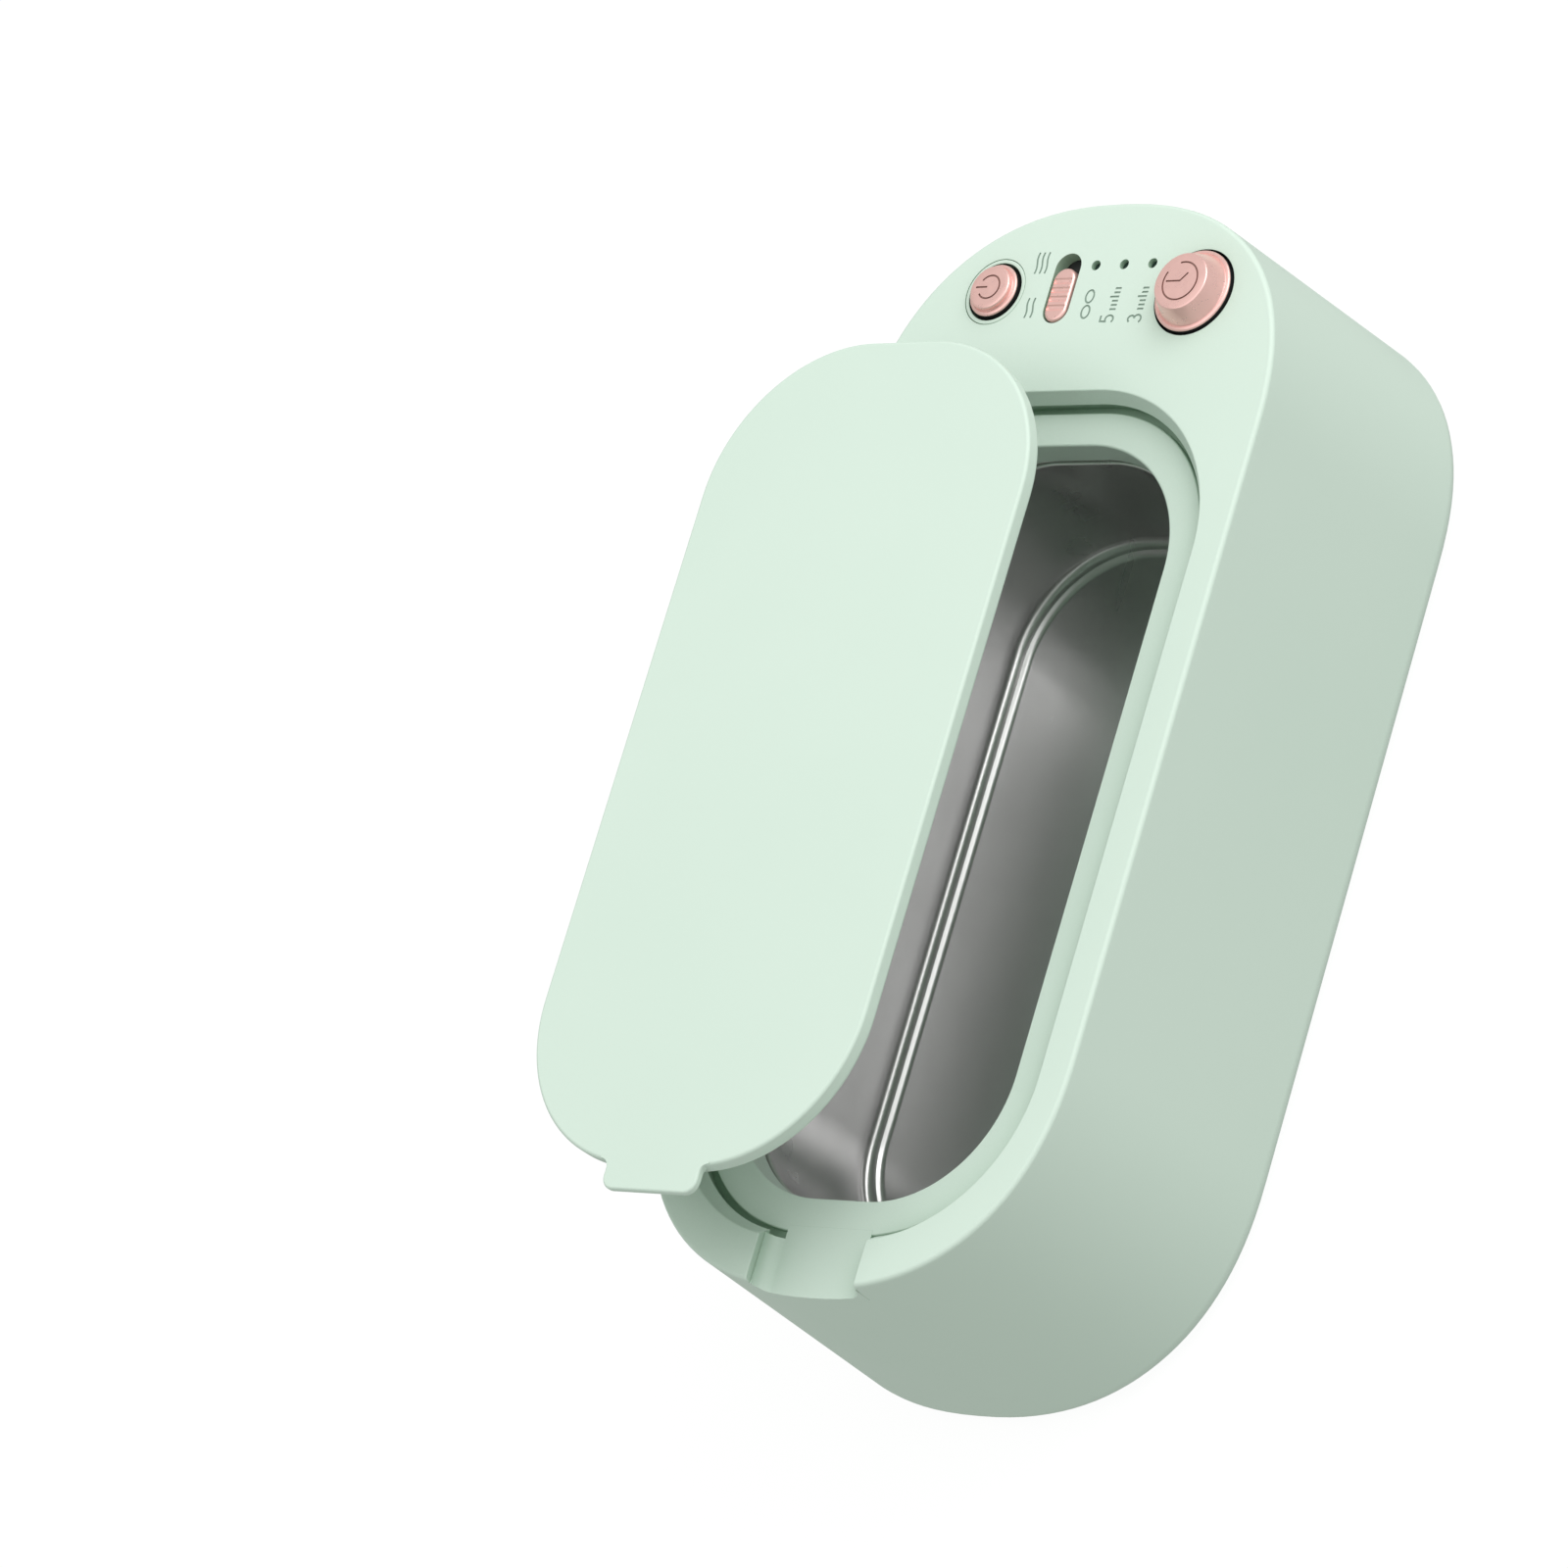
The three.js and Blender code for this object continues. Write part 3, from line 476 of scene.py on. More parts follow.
def metal(name, dark, light, roughness, stretch=(1, 1, 1), scale=900, depth=0.000004, metallic=1.0):
    """Metal with a drawn or turned grain."""
    nodes = Nodes(name).set(Metallic=metallic)
    nodes.colour(nodes.ramp(nodes.noise(30, 3), [(0.3, dark), (0.7, light)]))
    grain = nodes.noise(scale, 3, stretch)
    nodes.rough(nodes.spread(grain, roughness - GLOSS_DRIFT, roughness + GLOSS_DRIFT))
    nodes.bump(nodes.noise(scale, 2, stretch), depth, 0.4)
    return nodes.material


def drawn_steel():
    """Stainless sheet, satin, with a painted highlight: its colour is lighter where the surface leans between
    flat and upright, along the bends, and darker on the flats, which dims their reflections.
    """
    nodes = Nodes("drawn_steel").set(Metallic=1.0)
    drift = nodes.noise(30, 3)
    flats = nodes.ramp(drift, [(0.3, (0.50, 0.495, 0.495)), (0.7, (0.55, 0.545, 0.545))])
    bends = nodes.ramp(drift, [(0.3, (0.60, 0.595, 0.59)), (0.7, (0.65, 0.645, 0.64))])
    # painted highlight: a lighter colour on the bends, chosen by how far the surface leans
    painted_highlight_mask = nodes.slope([(0.1, 0), (0.3, 1), (0.93, 1), (0.995, 0)])
    nodes.colour(nodes.blend(painted_highlight_mask, flats, bends))
    nodes.rough(nodes.spread(nodes.noise(140, 3, (1, 0.1, 1)), 0.27, 0.32))
    return nodes.material


# painted shade for the mint, used in its recesses, creases and wherever nearby parts close over it
MINT_PAINTED_SHADE = (0.29, 0.425, 0.315)
MINT = plastic("mint_plastic", (0.655, 0.772, 0.69), (0.675, 0.787, 0.707), 0.46, painted_shade=MINT_PAINTED_SHADE)
MINT_INSIDE = plastic("mint_plastic_inside", (0.56, 0.70, 0.61), (0.59, 0.73, 0.64), 0.6, 900)
INK = plastic("grey_green_ink", (0.25, 0.34, 0.285), (0.28, 0.37, 0.31), 0.6, 3000)
STEEL = drawn_steel()
ROSE = metal(
    "rose_satin_metal",
    (0.95, 0.57, 0.535),
    (0.97, 0.595, 0.56),
    0.31,
    scale=700,
    depth=0.0000012,
    metallic=0.6,
)
ROSE_GROOVE = metal(
    "rose_metal_in_the_grooves",
    (0.36, 0.19, 0.165),
    (0.42, 0.23, 0.20),
    0.45,
    metallic=0.6,
)
ALUMINIUM = metal("bright_aluminium", (0.74, 0.75, 0.76), (0.80, 0.81, 0.82), 0.36, (1, 0.1, 1))
SCREW = metal("zinc_plated_steel", (0.52, 0.53, 0.54), (0.62, 0.63, 0.64), 0.34)
WOUND = (0.02, 0.02, 1)
COPPER = metal("enamelled_copper", (0.52, 0.21, 0.07), (0.66, 0.29, 0.11), 0.32, WOUND, 3000, 0.00006)
RUBBER = plastic("black_rubber", (0.030, 0.032, 0.031), (0.045, 0.047, 0.046), 0.82, 1300, 0.00003)
SILICONE = plastic("white_silicone", (0.76, 0.76, 0.72), (0.81, 0.81, 0.77), 0.62, 1500)
# black mouldings, and also painted shade: the walls of the button holes, the caps below the deck and the
# slider's flange are given it
BLACK_AND_PAINTED_SHADE = plastic("black_moulding_and_painted_shade", (0.016, 0.017, 0.018), (0.024, 0.025, 0.026), 0.42, 1500)
FERRITE = plastic("sintered_ferrite", (0.045, 0.042, 0.040), (0.070, 0.066, 0.062), 0.72, 1800, 0.00003)
CERAMIC = plastic("fired_ceramic", (0.62, 0.54, 0.40), (0.69, 0.61, 0.47), 0.5, 1700)
EPOXY = plastic("cured_epoxy", (0.15, 0.115, 0.065), (0.19, 0.145, 0.085), 0.35, 500)
BOARD = plastic("green_circuit_board", (0.012, 0.095, 0.045), (0.018, 0.125, 0.06), 0.4, 700, 0.00002)
RED = plastic("red_insulation", (0.42, 0.025, 0.018), (0.50, 0.035, 0.025), 0.45, 1200)
GREY = plastic("grey_ribbon", (0.25, 0.26, 0.26), (0.33, 0.34, 0.34), 0.5, 1200, 0.00004)
LENS = plastic("smoked_lens", (0.008, 0.022, 0.017), (0.013, 0.030, 0.024), 0.12, 900, 0.000004)
LED = plastic("led_resin", (0.72, 0.70, 0.55), (0.80, 0.78, 0.64), 0.25, 900)


def dress(piece, material):
    piece.data.materials.clear()
    piece.data.materials.append(material)
    return piece


def paint(piece, material, wanted):
    """Gives the faces whose centres are wanted a second material."""
    piece.data.materials.append(material)
    last = len(piece.data.materials) - 1
    for face in piece.data.polygons:
        if wanted(face.center):
            face.material_index = last


def hand_over(piece, body, slot, *nodes):
    """Rides the piece on its body, in the place of its CAD nodes."""
    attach(piece, body)
    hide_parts(*nodes)
    return piece


# ------------------------------------------------------------------ printed marks


def ribbon(points, width, z0, z1, closed=False):
    """An upright wall of even width along a path, as a cutter."""
    count = len(points)
    left, right = [], []
    for i, (x, y) in enumerate(points):
        before = points[i - 1] if closed or i > 0 else points[i]
        after = points[(i + 1) % count] if closed or i < count - 1 else points[i]
        along = Vector((after[0] - before[0], after[1] - before[1])).normalized()
        across = Vector((-along.y, along.x)) * width / 2
        left.append((x + across.x, y + across.y))
        right.append((x - across.x, y - across.y))
    if closed:
        section = [(right, z0), (right, z1), (left, z1), (left, z0)]
        turning = sum(a[0] * b[1] - b[0] * a[1] for a, b in zip(points, points[1:] + points[:1]))
        loops = [[(x, y, z) for x, y in side] for side, z in section]
        if turning < 0:
            loops.reverse()
        return loft("stroke", loops, closed=True)
    border = right + left[::-1]
    return loft("stroke", [[(x, y, z) for x, y in border] for z in (z0, z1)])


def arc(x, y, radius_x, radius_y, start, end, steps=28):
    """Points round an ellipse, from one angle to another in degrees."""
    points = []
    for step in range(steps + 1):
        angle = math.radians(start + (end - start) * step / steps)
        points.append((x + radius_x * math.cos(angle), y + radius_y * math.sin(angle)))
    return points


def wave(x, y0, y1, swing):
    """One full wave along Y."""
    steps = 20
    shares = [step / steps for step in range(steps + 1)]
    return [(x + swing * math.sin(2 * math.pi * share), y0 + (y1 - y0) * share) for share in shares]


def panel_marks():
    """Two layers of paths on the deck, as (points, closed). Up on each mark is towards -X."""
    first = [(wave(x, 86.8, 90.9, 0.16), False) for x in (-14.25, -13.15, -12.05)]
    first += [(wave(x, 78.3, 82.1, 0.16), False) for x in (-13.6, -12.3)]
    first += [(arc(-0.4, y, 0.85, 1.2, 0, 360 - 360 / 28, 27), True) for y in (79.05, 82.0)]
    second = []
    five = [arc(0.65, 0.88, 0.72, 0.85, 130, -140, 16), [(0.12, 2.8), (1.35, 2.8)]]
    three = [arc(0.65, 2.08, 0.62, 0.7, 150, -80, 14)]
    spine = [(0.26, 2.7), (0.18, 1.42)]
    belly = arc(0.65, 0.78, 0.74, 0.78, 80, -150, 14)
    for strokes, joining, x, y in ((five, spine, 6.15, 76.85), (three, belly, 12.15, 76.75)):
        for layer, paths in ((first, strokes), (second, [joining])):
            layer += [([(x - up, y + across) for across, up in path], False) for path in paths]
        for tick, tall in enumerate((1, 1, 1, 1.5, 1, 1)):
            start = y + 2.55 + 0.8 * tick
            first.append(([(x - 0.1, start), (x - 0.1 - 1.3 * tall, start)], False))
    return [first, second]


def engrave(piece, paths, width, surface, depth, material):
    """Cuts strokes into a flat face. Strokes in one call stay clear of each other."""
    cutters = [ribbon(points, width, surface - depth, surface + 0.5, closed) for points, closed in paths]
    tool = merged("cutter", cutters)
    dress(tool, material)
    return combine(piece, [tool], "DIFFERENCE")


# ------------------------------------------------------------------ housing

PANEL = {name: middle(name) for name in ("power_button", "timer_button", "mode_slider")}
SLOT_X = PANEL["mode_slider"][0]
SLOT_Y = PANEL["mode_slider"][1] + 1.3
LENSES = [f"light_pipe_{i}" for i in (1, 2, 3)]
BASE_SCREWS = [f"base_screw_{i}" for i in (1, 2, 3, 4)]
FEET = [f"foot_{i}" for i in (1, 2, 3, 4)]
INLET_Z = middle("power_inlet")[2]


def case_loops():
    outside = [(BASE_INSET, BASE, 0), (0, BASE, BOTTOM_EDGE), (0, TOP, TOP_EDGE), (6, TOP, 0)]
    loops = [body_loop(inset, z) for inset, z in rounded(outside, steps=8)[:-1]]
    rim = [(-6, TOP, 0), (0, TOP, 0.4), (RECESS_SLOPE, UNDER, 0)]
    loops += [recess_loop(offset, z) for offset, z in rounded(rim, steps=4)[1:]]
    inside = [(WALL, UNDER, 0), (WALL, BASE + BOTTOM_EDGE, 0), (BASE_INSET - 2, BASE + WALL, 0)]
    inside.append((BASE_INSET, BASE + WALL, 0))
    return loops + [body_loop(inset, z) for inset, z, _ in inside]


def case_cutters():
    low = UNDER - 1
    high = TOP + 1
    power_x, power_y = PANEL["power_button"][:2]
    timer_x, timer_y = PANEL["timer_button"][:2]
    seat_floor = TOP - POWER_RING["height"] - FINE_GAP
    slot = (SLOT_X, SLOT_Y, SLOT_HALF_WIDTH, SLOT_HALF_LENGTH)
    cutters = [
        loft("power_seat", [circle(power_x, power_y, RING_SEAT, z, 96) for z in (seat_floor, high)]),
        loft("power_hole", [circle(power_x, power_y, POWER["hole"], z, 96) for z in (low, high)]),
        loft("timer_hole", [circle(timer_x, timer_y, TIMER["hole"], z, 96) for z in (low, high)]),
        loft("slot", [stadium(*slot, z) for z in (low, high)]),
    ]
    for lens in LENSES:
        x, y, _ = middle(lens)
        cutters.append(loft("lens_hole", [circle(x, y, LED_HOLE, z, 32) for z in (low, high)]))
    half = NOTCH_HALF_WIDTH
    notch_floor = LEDGE - TONGUE_THICKNESS - NOTCH_GAP
    cutters.append(block(-half, half, -LENGTH / 2 - 10, RECESS_END + 12, notch_floor, high))
    cutters.append(lying("inlet_hole", [(INLET_RADIUS + GAP, LENGTH / 2 + side) for side in (-10, 10)], 64))
    return cutters


def in_bore(centre, name, radius):
    """Whether a face lies in a button's hole, below its rim."""
    place = centre / MM
    x, y = PANEL[name][:2]
    return place.z < TOP - 0.2 and math.hypot(place.x - x, place.y - y) < radius + 0.05


def on_rim(edge, x, y, radius):
    """Whether an edge lies on a hole's rim in the deck."""
    for vert in edge.verts:
        place = vert.co / MM
        if abs(place.z - TOP) > 0.01 or abs(math.hypot(place.x - x, place.y - y) - radius) > 0.03:
            return False
    return True


def on_slot(edge):
    """Whether an edge lies on the slot's rim in the deck."""
    straight = SLOT_HALF_LENGTH - SLOT_HALF_WIDTH
    for vert in edge.verts:
        place = vert.co / MM
        past = max(0, abs(place.y - SLOT_Y) - straight)
        if abs(place.z - TOP) > 0.01 or abs(math.hypot(place.x - SLOT_X, past) - SLOT_HALF_WIDTH) > 0.03:
            return False
    return True


def on_notch(edge):
    """Whether an edge borders one of the notch's side walls, above the tongue's rim."""
    low = LEDGE + TONGUE_FILLET
    for vert in edge.verts:
        place = vert.co / MM
        if abs(abs(place.x) - NOTCH_HALF_WIDTH) > 0.01 or place.y > -80:
            return False
    if any(vert.co.z / MM < low for vert in edge.verts):
        return False
    walls = [face for face in edge.link_faces if abs(face.normal.x) > 0.999]
    return len(walls) == 1 and len(edge.link_faces) == 2


def make_case():
    case = loft("case_shell", case_loops(), closed=True)
    dress(case, MINT)
    combine(case, case_cutters(), "DIFFERENCE")
    rims = [(*PANEL["power_button"][:2], RING_SEAT), (*PANEL["timer_button"][:2], TIMER["hole"])]
    rims += [(*middle(lens)[:2], LED_HOLE) for lens in LENSES]
    bevel_edges(case, lambda edge: any(on_rim(edge, *rim) for rim in rims) or on_slot(edge), 0.18)
    bevel_edges(case, on_notch, 0.35)
    for layer in panel_marks():
        engrave(case, layer, 0.36, TOP, 0.14, INK)
    # painted shade: the timer hole's walls in the mint housing are painted black
    paint(case, BLACK_AND_PAINTED_SHADE, lambda centre: in_bore(centre, "timer_button", TIMER["hole"]))
    finish_shading(case)
    return hand_over(case, "housing", "mint", "housing")


# ------------------------------------------------------------------ ring and tank


def make_trim():
    """The ring in the recess: its rim under the deck, the drip groove, the ledge and the skirt."""
    under = UNDER - GAP
    skirt = SKIRT_END
    foot, back = SKIRT_OFFSETS
    section = [
        (-3, under, 0.2),
        (DRIP_OFFSET, under, 0.2),
        (DRIP_OFFSET, DRIP_FLOOR, 0),
        (LEDGE_OFFSET, DRIP_FLOOR, 0),
        (LEDGE_OFFSET, LEDGE, 0.35),
        (MOUTH_OFFSET, LEDGE - LEDGE_FALL, 0.45),
        (MOUTH_OFFSET + 0.2, skirt, 0.2),
        (foot, skirt, 0.2),
        (foot, skirt + 1.4, 0),
        (back, skirt + 1.4, 0),
        (back, RING_UNDER, 0),
        (-0.6, RING_UNDER, 0.2),
        (-0.6, under - 1.8, 0),
        (-3, under - 1.8, 0.2),
    ]
    loops = [recess_loop(offset, z) for offset, z in rounded(section, closed=True, steps=5)]
    ring = loft("tank_ring", loops, closed=True)
    half = NOTCH_HALF_WIDTH
    combine(ring, [block(-half, half, -LENGTH, -85, LEDGE, TOP)], "DIFFERENCE")
    combine(ring, [block(-half, half, -LENGTH, RECESS_END + 1.5, LEDGE - 0.4, LEDGE + 0.1)], "DIFFERENCE")
    combine(ring, [make_tongue()], "UNION")
    dress(ring, MINT)
    finish_shading(ring)
    return hand_over(ring, "housing", "mint", "tank_trim")


def make_tongue():
    """The ledge's run out through the notch: a floor that turns up along the notch's sides."""
    low = LEDGE - TONGUE_THICKNESS
    half = NOTCH_HALF_WIDTH - NOTCH_GAP
    flat = half - TONGUE_UPSTAND - TONGUE_FILLET
    rim = LEDGE + TONGUE_FILLET
    section = [(-half, low), (half, low), (half, rim)]
    section += arc(flat, rim, TONGUE_FILLET, TONGUE_FILLET, 0, -90, 14)
    section += arc(-flat, rim, TONGUE_FILLET, TONGUE_FILLET, -90, -180, 14)
    section.append((-half, rim))
    ends = (-LENGTH / 2 - 5, RECESS_END + BRIDGE_LAP)
    tongue = loft("tongue", [[(x, y, z) for x, z in reversed(section)] for y in ends])
    levels = (low - 1, TOP)
    plan = loft("plan", [body_loop(-TONGUE_REACH, z) for z in levels])
    combine(tongue, [plan], "INTERSECT")
    recess = loft("recess", [recess_loop(DRIP_OFFSET - FINE_GAP, z) for z in levels])
    combine(tongue, [recess], "DIFFERENCE")
    bevel_edges(tongue, on_lip, 0.45, 4)
    bridge_end = RECESS_END + BRIDGE_LAP + LEDGE_OFFSET
    half = BRIDGE_HALF_WIDTH
    bridge = block(-half, half, RECESS_END - BRIDGE_LAP, bridge_end, low, LEDGE)
    return combine(tongue, [bridge], "UNION")


def on_lip(edge):
    """Whether an edge lies between the tongue's outer end and its upper face."""
    normals = [face.normal for face in edge.link_faces]
    outer = [normal for normal in normals if normal.y < -0.7]
    upper = [normal for normal in normals if normal.y > -0.3]
    return len(outer) == 1 and len(upper) == 1


def make_tank():
    """The drawn tank. Its wall bends in to a narrow ring, and a step slopes down to the floor."""
    ring = TANK_FLOOR + TANK_STEP
    step = TANK_FOOT_OFFSET + TANK_BEND
    section = [
        (FLOOR_OFFSET, TANK_FLOOR - SHEET, 0),
        (step + TANK_STEP - 0.25, TANK_FLOOR - SHEET, 0.9),
        (step - 0.25, ring - SHEET, 0.5),
        (TANK_FOOT_OFFSET - SHEET, ring - SHEET, TANK_BEND + SHEET - 0.6),
        (TANK_MOUTH_OFFSET - SHEET, FLANGE_TOP - SHEET, 0.6),
        (TANK_FLANGE_OFFSET, FLANGE_TOP - SHEET, 0),
        (TANK_FLANGE_OFFSET, FLANGE_TOP, 0),
        (TANK_MOUTH_OFFSET, FLANGE_TOP, 0.6),
        (TANK_FOOT_OFFSET, ring, TANK_BEND - 0.15),
        (step + 0.05, ring, 0.25),
        (step + TANK_STEP, TANK_FLOOR, 1.3),
        (FLOOR_OFFSET, TANK_FLOOR, 0),
    ]
    bowl = loft("steel_tank", [recess_loop(offset, z) for offset, z in rounded(section, steps=8)])
    dress(bowl, STEEL)
    finish_shading(bowl, 50)
    return hand_over(bowl, "housing", "steel", "tank")


# ------------------------------------------------------------------ lid


def make_lid():
    """The lid is built over its seat and then moved out to where it is held at rest."""
    low, high = cad_box("lid")
    lift_x = (low[0] + high[0]) / 2
    top = high[2]
    lift_z = top - LID_THICKNESS
    edge = [(6, lift_z, 0), (0, lift_z, 0.9), (0, top, 0.6), (6, top, 0)]
    loops = [recess_loop(LID_OFFSET + inset, z) for inset, z in rounded(edge, steps=8)[1:-1]]
    lid = loft("lid_panel", loops)
    combine(lid, [loft("pocket", [recess_loop(13, z) for z in (lift_z - 1, lift_z + 1)])], "DIFFERENCE")
    inner, outer = 11.8, 10.3
    rib = [(inner, lift_z - 1, 0.3), (outer, lift_z - 1, 0.3), (outer, lift_z + 1, 0), (inner, lift_z + 1, 0)]
    rib_loops = [recess_loop(offset, z) for offset, z in rounded(rib, closed=True, steps=4)]
    combine(lid, [loft("rib", rib_loops, closed=True)], "UNION")
    combine(lid, [lid_tab(top)], "UNION")
    for vert in lid.data.vertices:
        vert.co.x += lift_x * MM
    dress(lid, MINT)
    finish_shading(lid)
    return hand_over(lid, "lid", "mint", "lid")


def lid_tab(top):
    """The finger tab, which widens into the lid's edge through a fillet on each side."""
    end = RECESS_END + LID_OFFSET
    outer = end - TAB_REACH
    fillet = 1.6
    corner = 2.4
    root = end + 0.65
    quarter = 8

    def border(inset, z):
        half = TAB_HALF_WIDTH - inset
        turn_x = TAB_HALF_WIDTH - corner
        turn_y = outer + corner
        round_off = corner - inset
        reach = fillet + inset
        points = arc(-turn_x, turn_y, round_off, round_off, 180, 270, quarter)
        points += arc(turn_x, turn_y, round_off, round_off, 270, 360, quarter)
        points += arc(half + reach, root - reach, reach, reach, 180, 90, quarter)
        points += [(half + reach, end + 5), (-half - reach, end + 5)]
        points += arc(-half - reach, root - reach, reach, reach, 90, 0, quarter)
        return [(x, y, z) for x, y in points]

    section = [(3, top - TAB_THICKNESS, 0), (0, top - TAB_THICKNESS, 0.35), (0, top, 0.45), (3, top, 0)]
    return loft("tab", [border(inset, z) for inset, z in rounded(section, steps=5)[1:-1]])


# ------------------------------------------------------------------ controls


def cap_profile(spec):
    """A turned button: a retaining flange, a rim, a cone and a crowned face."""
    flange_top = UNDER - FINE_GAP
    flange_low = flange_top - FLANGE_THICKNESS
    flange = spec["hole"] + FLANGE_REACH
    face = TOP + spec["rise"]
    crown = 0.05
    corners = [
        (0, flange_low, 0),
        (flange, flange_low, 0.1),
        (flange, flange_top, 0.1),
        (spec["radius"], flange_top, 0),
        (spec["radius"], TOP + 0.66, 0.32),
        (spec["radius"] - 0.62, TOP + 0.8, 0.1),
        (spec["radius"] - 0.72, TOP + 0.62, 0.08),
        (spec["radius"] - 0.92, TOP + 0.95, 0.1),
        (spec["face"] + 0.2, face - 0.12, 0.35),
        (spec["face"] * 0.8, face - crown, 2.5),
        (0, face, 0),
    ]
    return rounded(corners, steps=6)


def make_buttons():
    power_x, power_y = PANEL["power_button"][:2]
    timer_x, timer_y = PANEL["timer_button"][:2]
    power = lathe("power_cap", power_x, power_y, cap_profile(POWER), 128)
    timer = lathe("timer_cap", timer_x, timer_y, cap_profile(TIMER), 160)
    dress(power, ROSE)
    dress(timer, ROSE)
    power_marks = [
        (arc(power_x, power_y, 2.2, 2.2, 215, 505, 48), False),
        ([(power_x - 0.4, power_y), (power_x - 2.9, power_y)], False),
    ]
    clock_marks = [
        (arc(timer_x, timer_y, 3.55, 3.55, 150, 465, 60), False),
        ([(timer_x - 3.0, timer_y), (timer_x, timer_y), (timer_x + 1.3, timer_y + 1.5)], False),
    ]
    engrave(power, power_marks, 0.32, TOP + POWER["rise"], 0.3, ROSE_GROOVE)
    engrave(timer, clock_marks, 0.32, TOP + TIMER["rise"], 0.3, ROSE_GROOVE)
    for cap, node in ((power, "power_button"), (timer, "timer_button")):
        # painted shade: each cap is painted black below the deck, where it is seen down the gap round it
        paint(cap, BLACK_AND_PAINTED_SHADE, lambda centre: centre.z < (TOP - 0.5) * MM)
        finish_shading(cap, 35)
        hand_over(cap, node, "rose", node)
    bore = POWER["hole"]
    outer = POWER_RING["outer"]
    foot = TOP - POWER_RING["height"]
    bezel_section = [(bore, foot, 0), (outer, foot, 0), (outer, TOP, 0.18), (bore, TOP, 0.12)]
    bezel = tube("power_bezel", power_x, power_y, rounded(bezel_section, closed=True, steps=4), 128)
    dress(bezel, MINT)
    # painted shade: the mint bezel's bore is painted black
    paint(bezel, BLACK_AND_PAINTED_SHADE, lambda centre: in_bore(centre, "power_button", bore))
    finish_shading(bezel)
    hand_over(bezel, "housing", "mint", "power_button_ring")


def make_slider():
    x, y, _ = PANEL["mode_slider"]
    low, high = cad_box("mode_slider")
    top = high[2]
    flange_top = UNDER - FINE_GAP
    cap_section = [(2, flange_top - 0.2, 0), (0, flange_top - 0.2, 0), (0, top, 0.6), (2, top, 0)]
    loops = []
    for inset, z in rounded(cap_section, steps=7)[1:-1]:
        loops.append(stadium(x, y, SLIDER_HALF_WIDTH - inset, SLIDER_HALF_LENGTH - inset, z, 20))
    cap = loft("slide_cap", loops)
    grooves = []
    for place in (-2.55, -0.85, 0.85, 2.55):
        grooves.append(scallop(x, y + place, top))
    combine(cap, [merged("grooves", grooves)], "DIFFERENCE")
    dress(cap, ROSE)
    levels = (flange_top - 1, flange_top)
    flange = loft("flange", [rectangle_loop(x, y, 3.9, 8.3, 1.5, z) for z in levels])
    # painted shade: the flange and stem, seen down the slot, are black
    combine(cap, [dress(flange, BLACK_AND_PAINTED_SHADE)], "UNION")
    stem = block(x - 0.8, x + 0.8, y - 1, y + 1, low[2], flange_top - 0.8)
    combine(cap, [dress(stem, BLACK_AND_PAINTED_SHADE)], "UNION")
    finish_shading(cap, 35)
    return hand_over(cap, "mode_slider", "rose", "mode_slider")


def scallop(x, y, top):
    """A shallow groove across the slider, as a cutter."""
    section = arc(y, top + 0.2, 0.62, 0.5, 180, 360, 10)
    loops = [[(side, py, pz) for py, pz in section] for side in (x - 1.95, x + 1.95)]
    return loft("scallop", loops)


def make_lenses():
    for name in LENSES:
        x, y, _ = middle(name)
        low, high = cad_box(name)
        radius = LED_HOLE - FINE_GAP
        collar = 1.5
        collar_top = UNDER - FINE_GAP
        corners = [
            (0, low[2], 0),
            (radius, low[2], 0),
            (radius, collar_top - 1, 0),
            (collar, collar_top - 1, 0),
            (collar, collar_top, 0),
            (radius, collar_top, 0),
            (radius, high[2] - 0.1, 0.15),
            (0, high[2], 0),
        ]
        lens = lathe(name.replace("light_pipe", "lens"), x, y, rounded(corners, steps=4), 32)
        dress(lens, LENS)
        finish_shading(lens)
        hand_over(lens, "housing", "clear", name)


# ------------------------------------------------------------------ underside and inlet


def make_base():
    """The base cover, with a stepped edge, screw wells and seats for the feet."""
    edge = BASE_INSET + GAP
    lap = BASE_INSET - 1.6
    step = BASE + WALL + GAP
    section = [
        (edge + 6, BASE, 0),
        (edge, BASE, 0.4),
        (edge, step, 0),
        (lap, step, 0),
        (lap, step + 1.5, 0),
        (edge + 6, step + 1.5, 0),
    ]
    plate = loft("base_plate", [body_loop(inset, z) for inset, z in rounded(section, steps=4)])
    well = ((SCREW_WELL + 0.4, BASE - 0.4), (SCREW_WELL, BASE), (SCREW_WELL, BASE + 1.8))
    cutters = []
    for name in BASE_SCREWS:
        x, y, _ = middle(name)
        cutters.append(loft("hole", [circle(x, y, SCREW_HOLE, z, 32) for z in (BASE - 1, BASE + 8)]))
        cutters.append(loft("well", [circle(x, y, radius, z, 48) for radius, z in well]))
    for name in FEET:
        x, y, _ = middle(name)
        cutters.append(loft("seat", [circle(x, y, FOOT_RADIUS + GAP, z, 64) for z in (BASE - 1, 1.6)]))
    cutters += [channel(0, y, 22, 1.1) for y in (-30, -15, 0, 15, 30)]
    combine(plate, cutters, "DIFFERENCE")
    dress(plate, MINT_INSIDE)
    finish_shading(plate)
    return hand_over(plate, "housing", "mint_inside", "base_cover")


def channel(x, y, half_length, half_width):
    """A shallow moulded channel across the underside, as a cutter."""
    points = [stadium(0, 0, half_width, half_length, z, 10) for z in (BASE - 1, BASE + 0.5)]
    return loft("channel", [[(x - py, y + px, z) for px, py, z in loop] for loop in points])


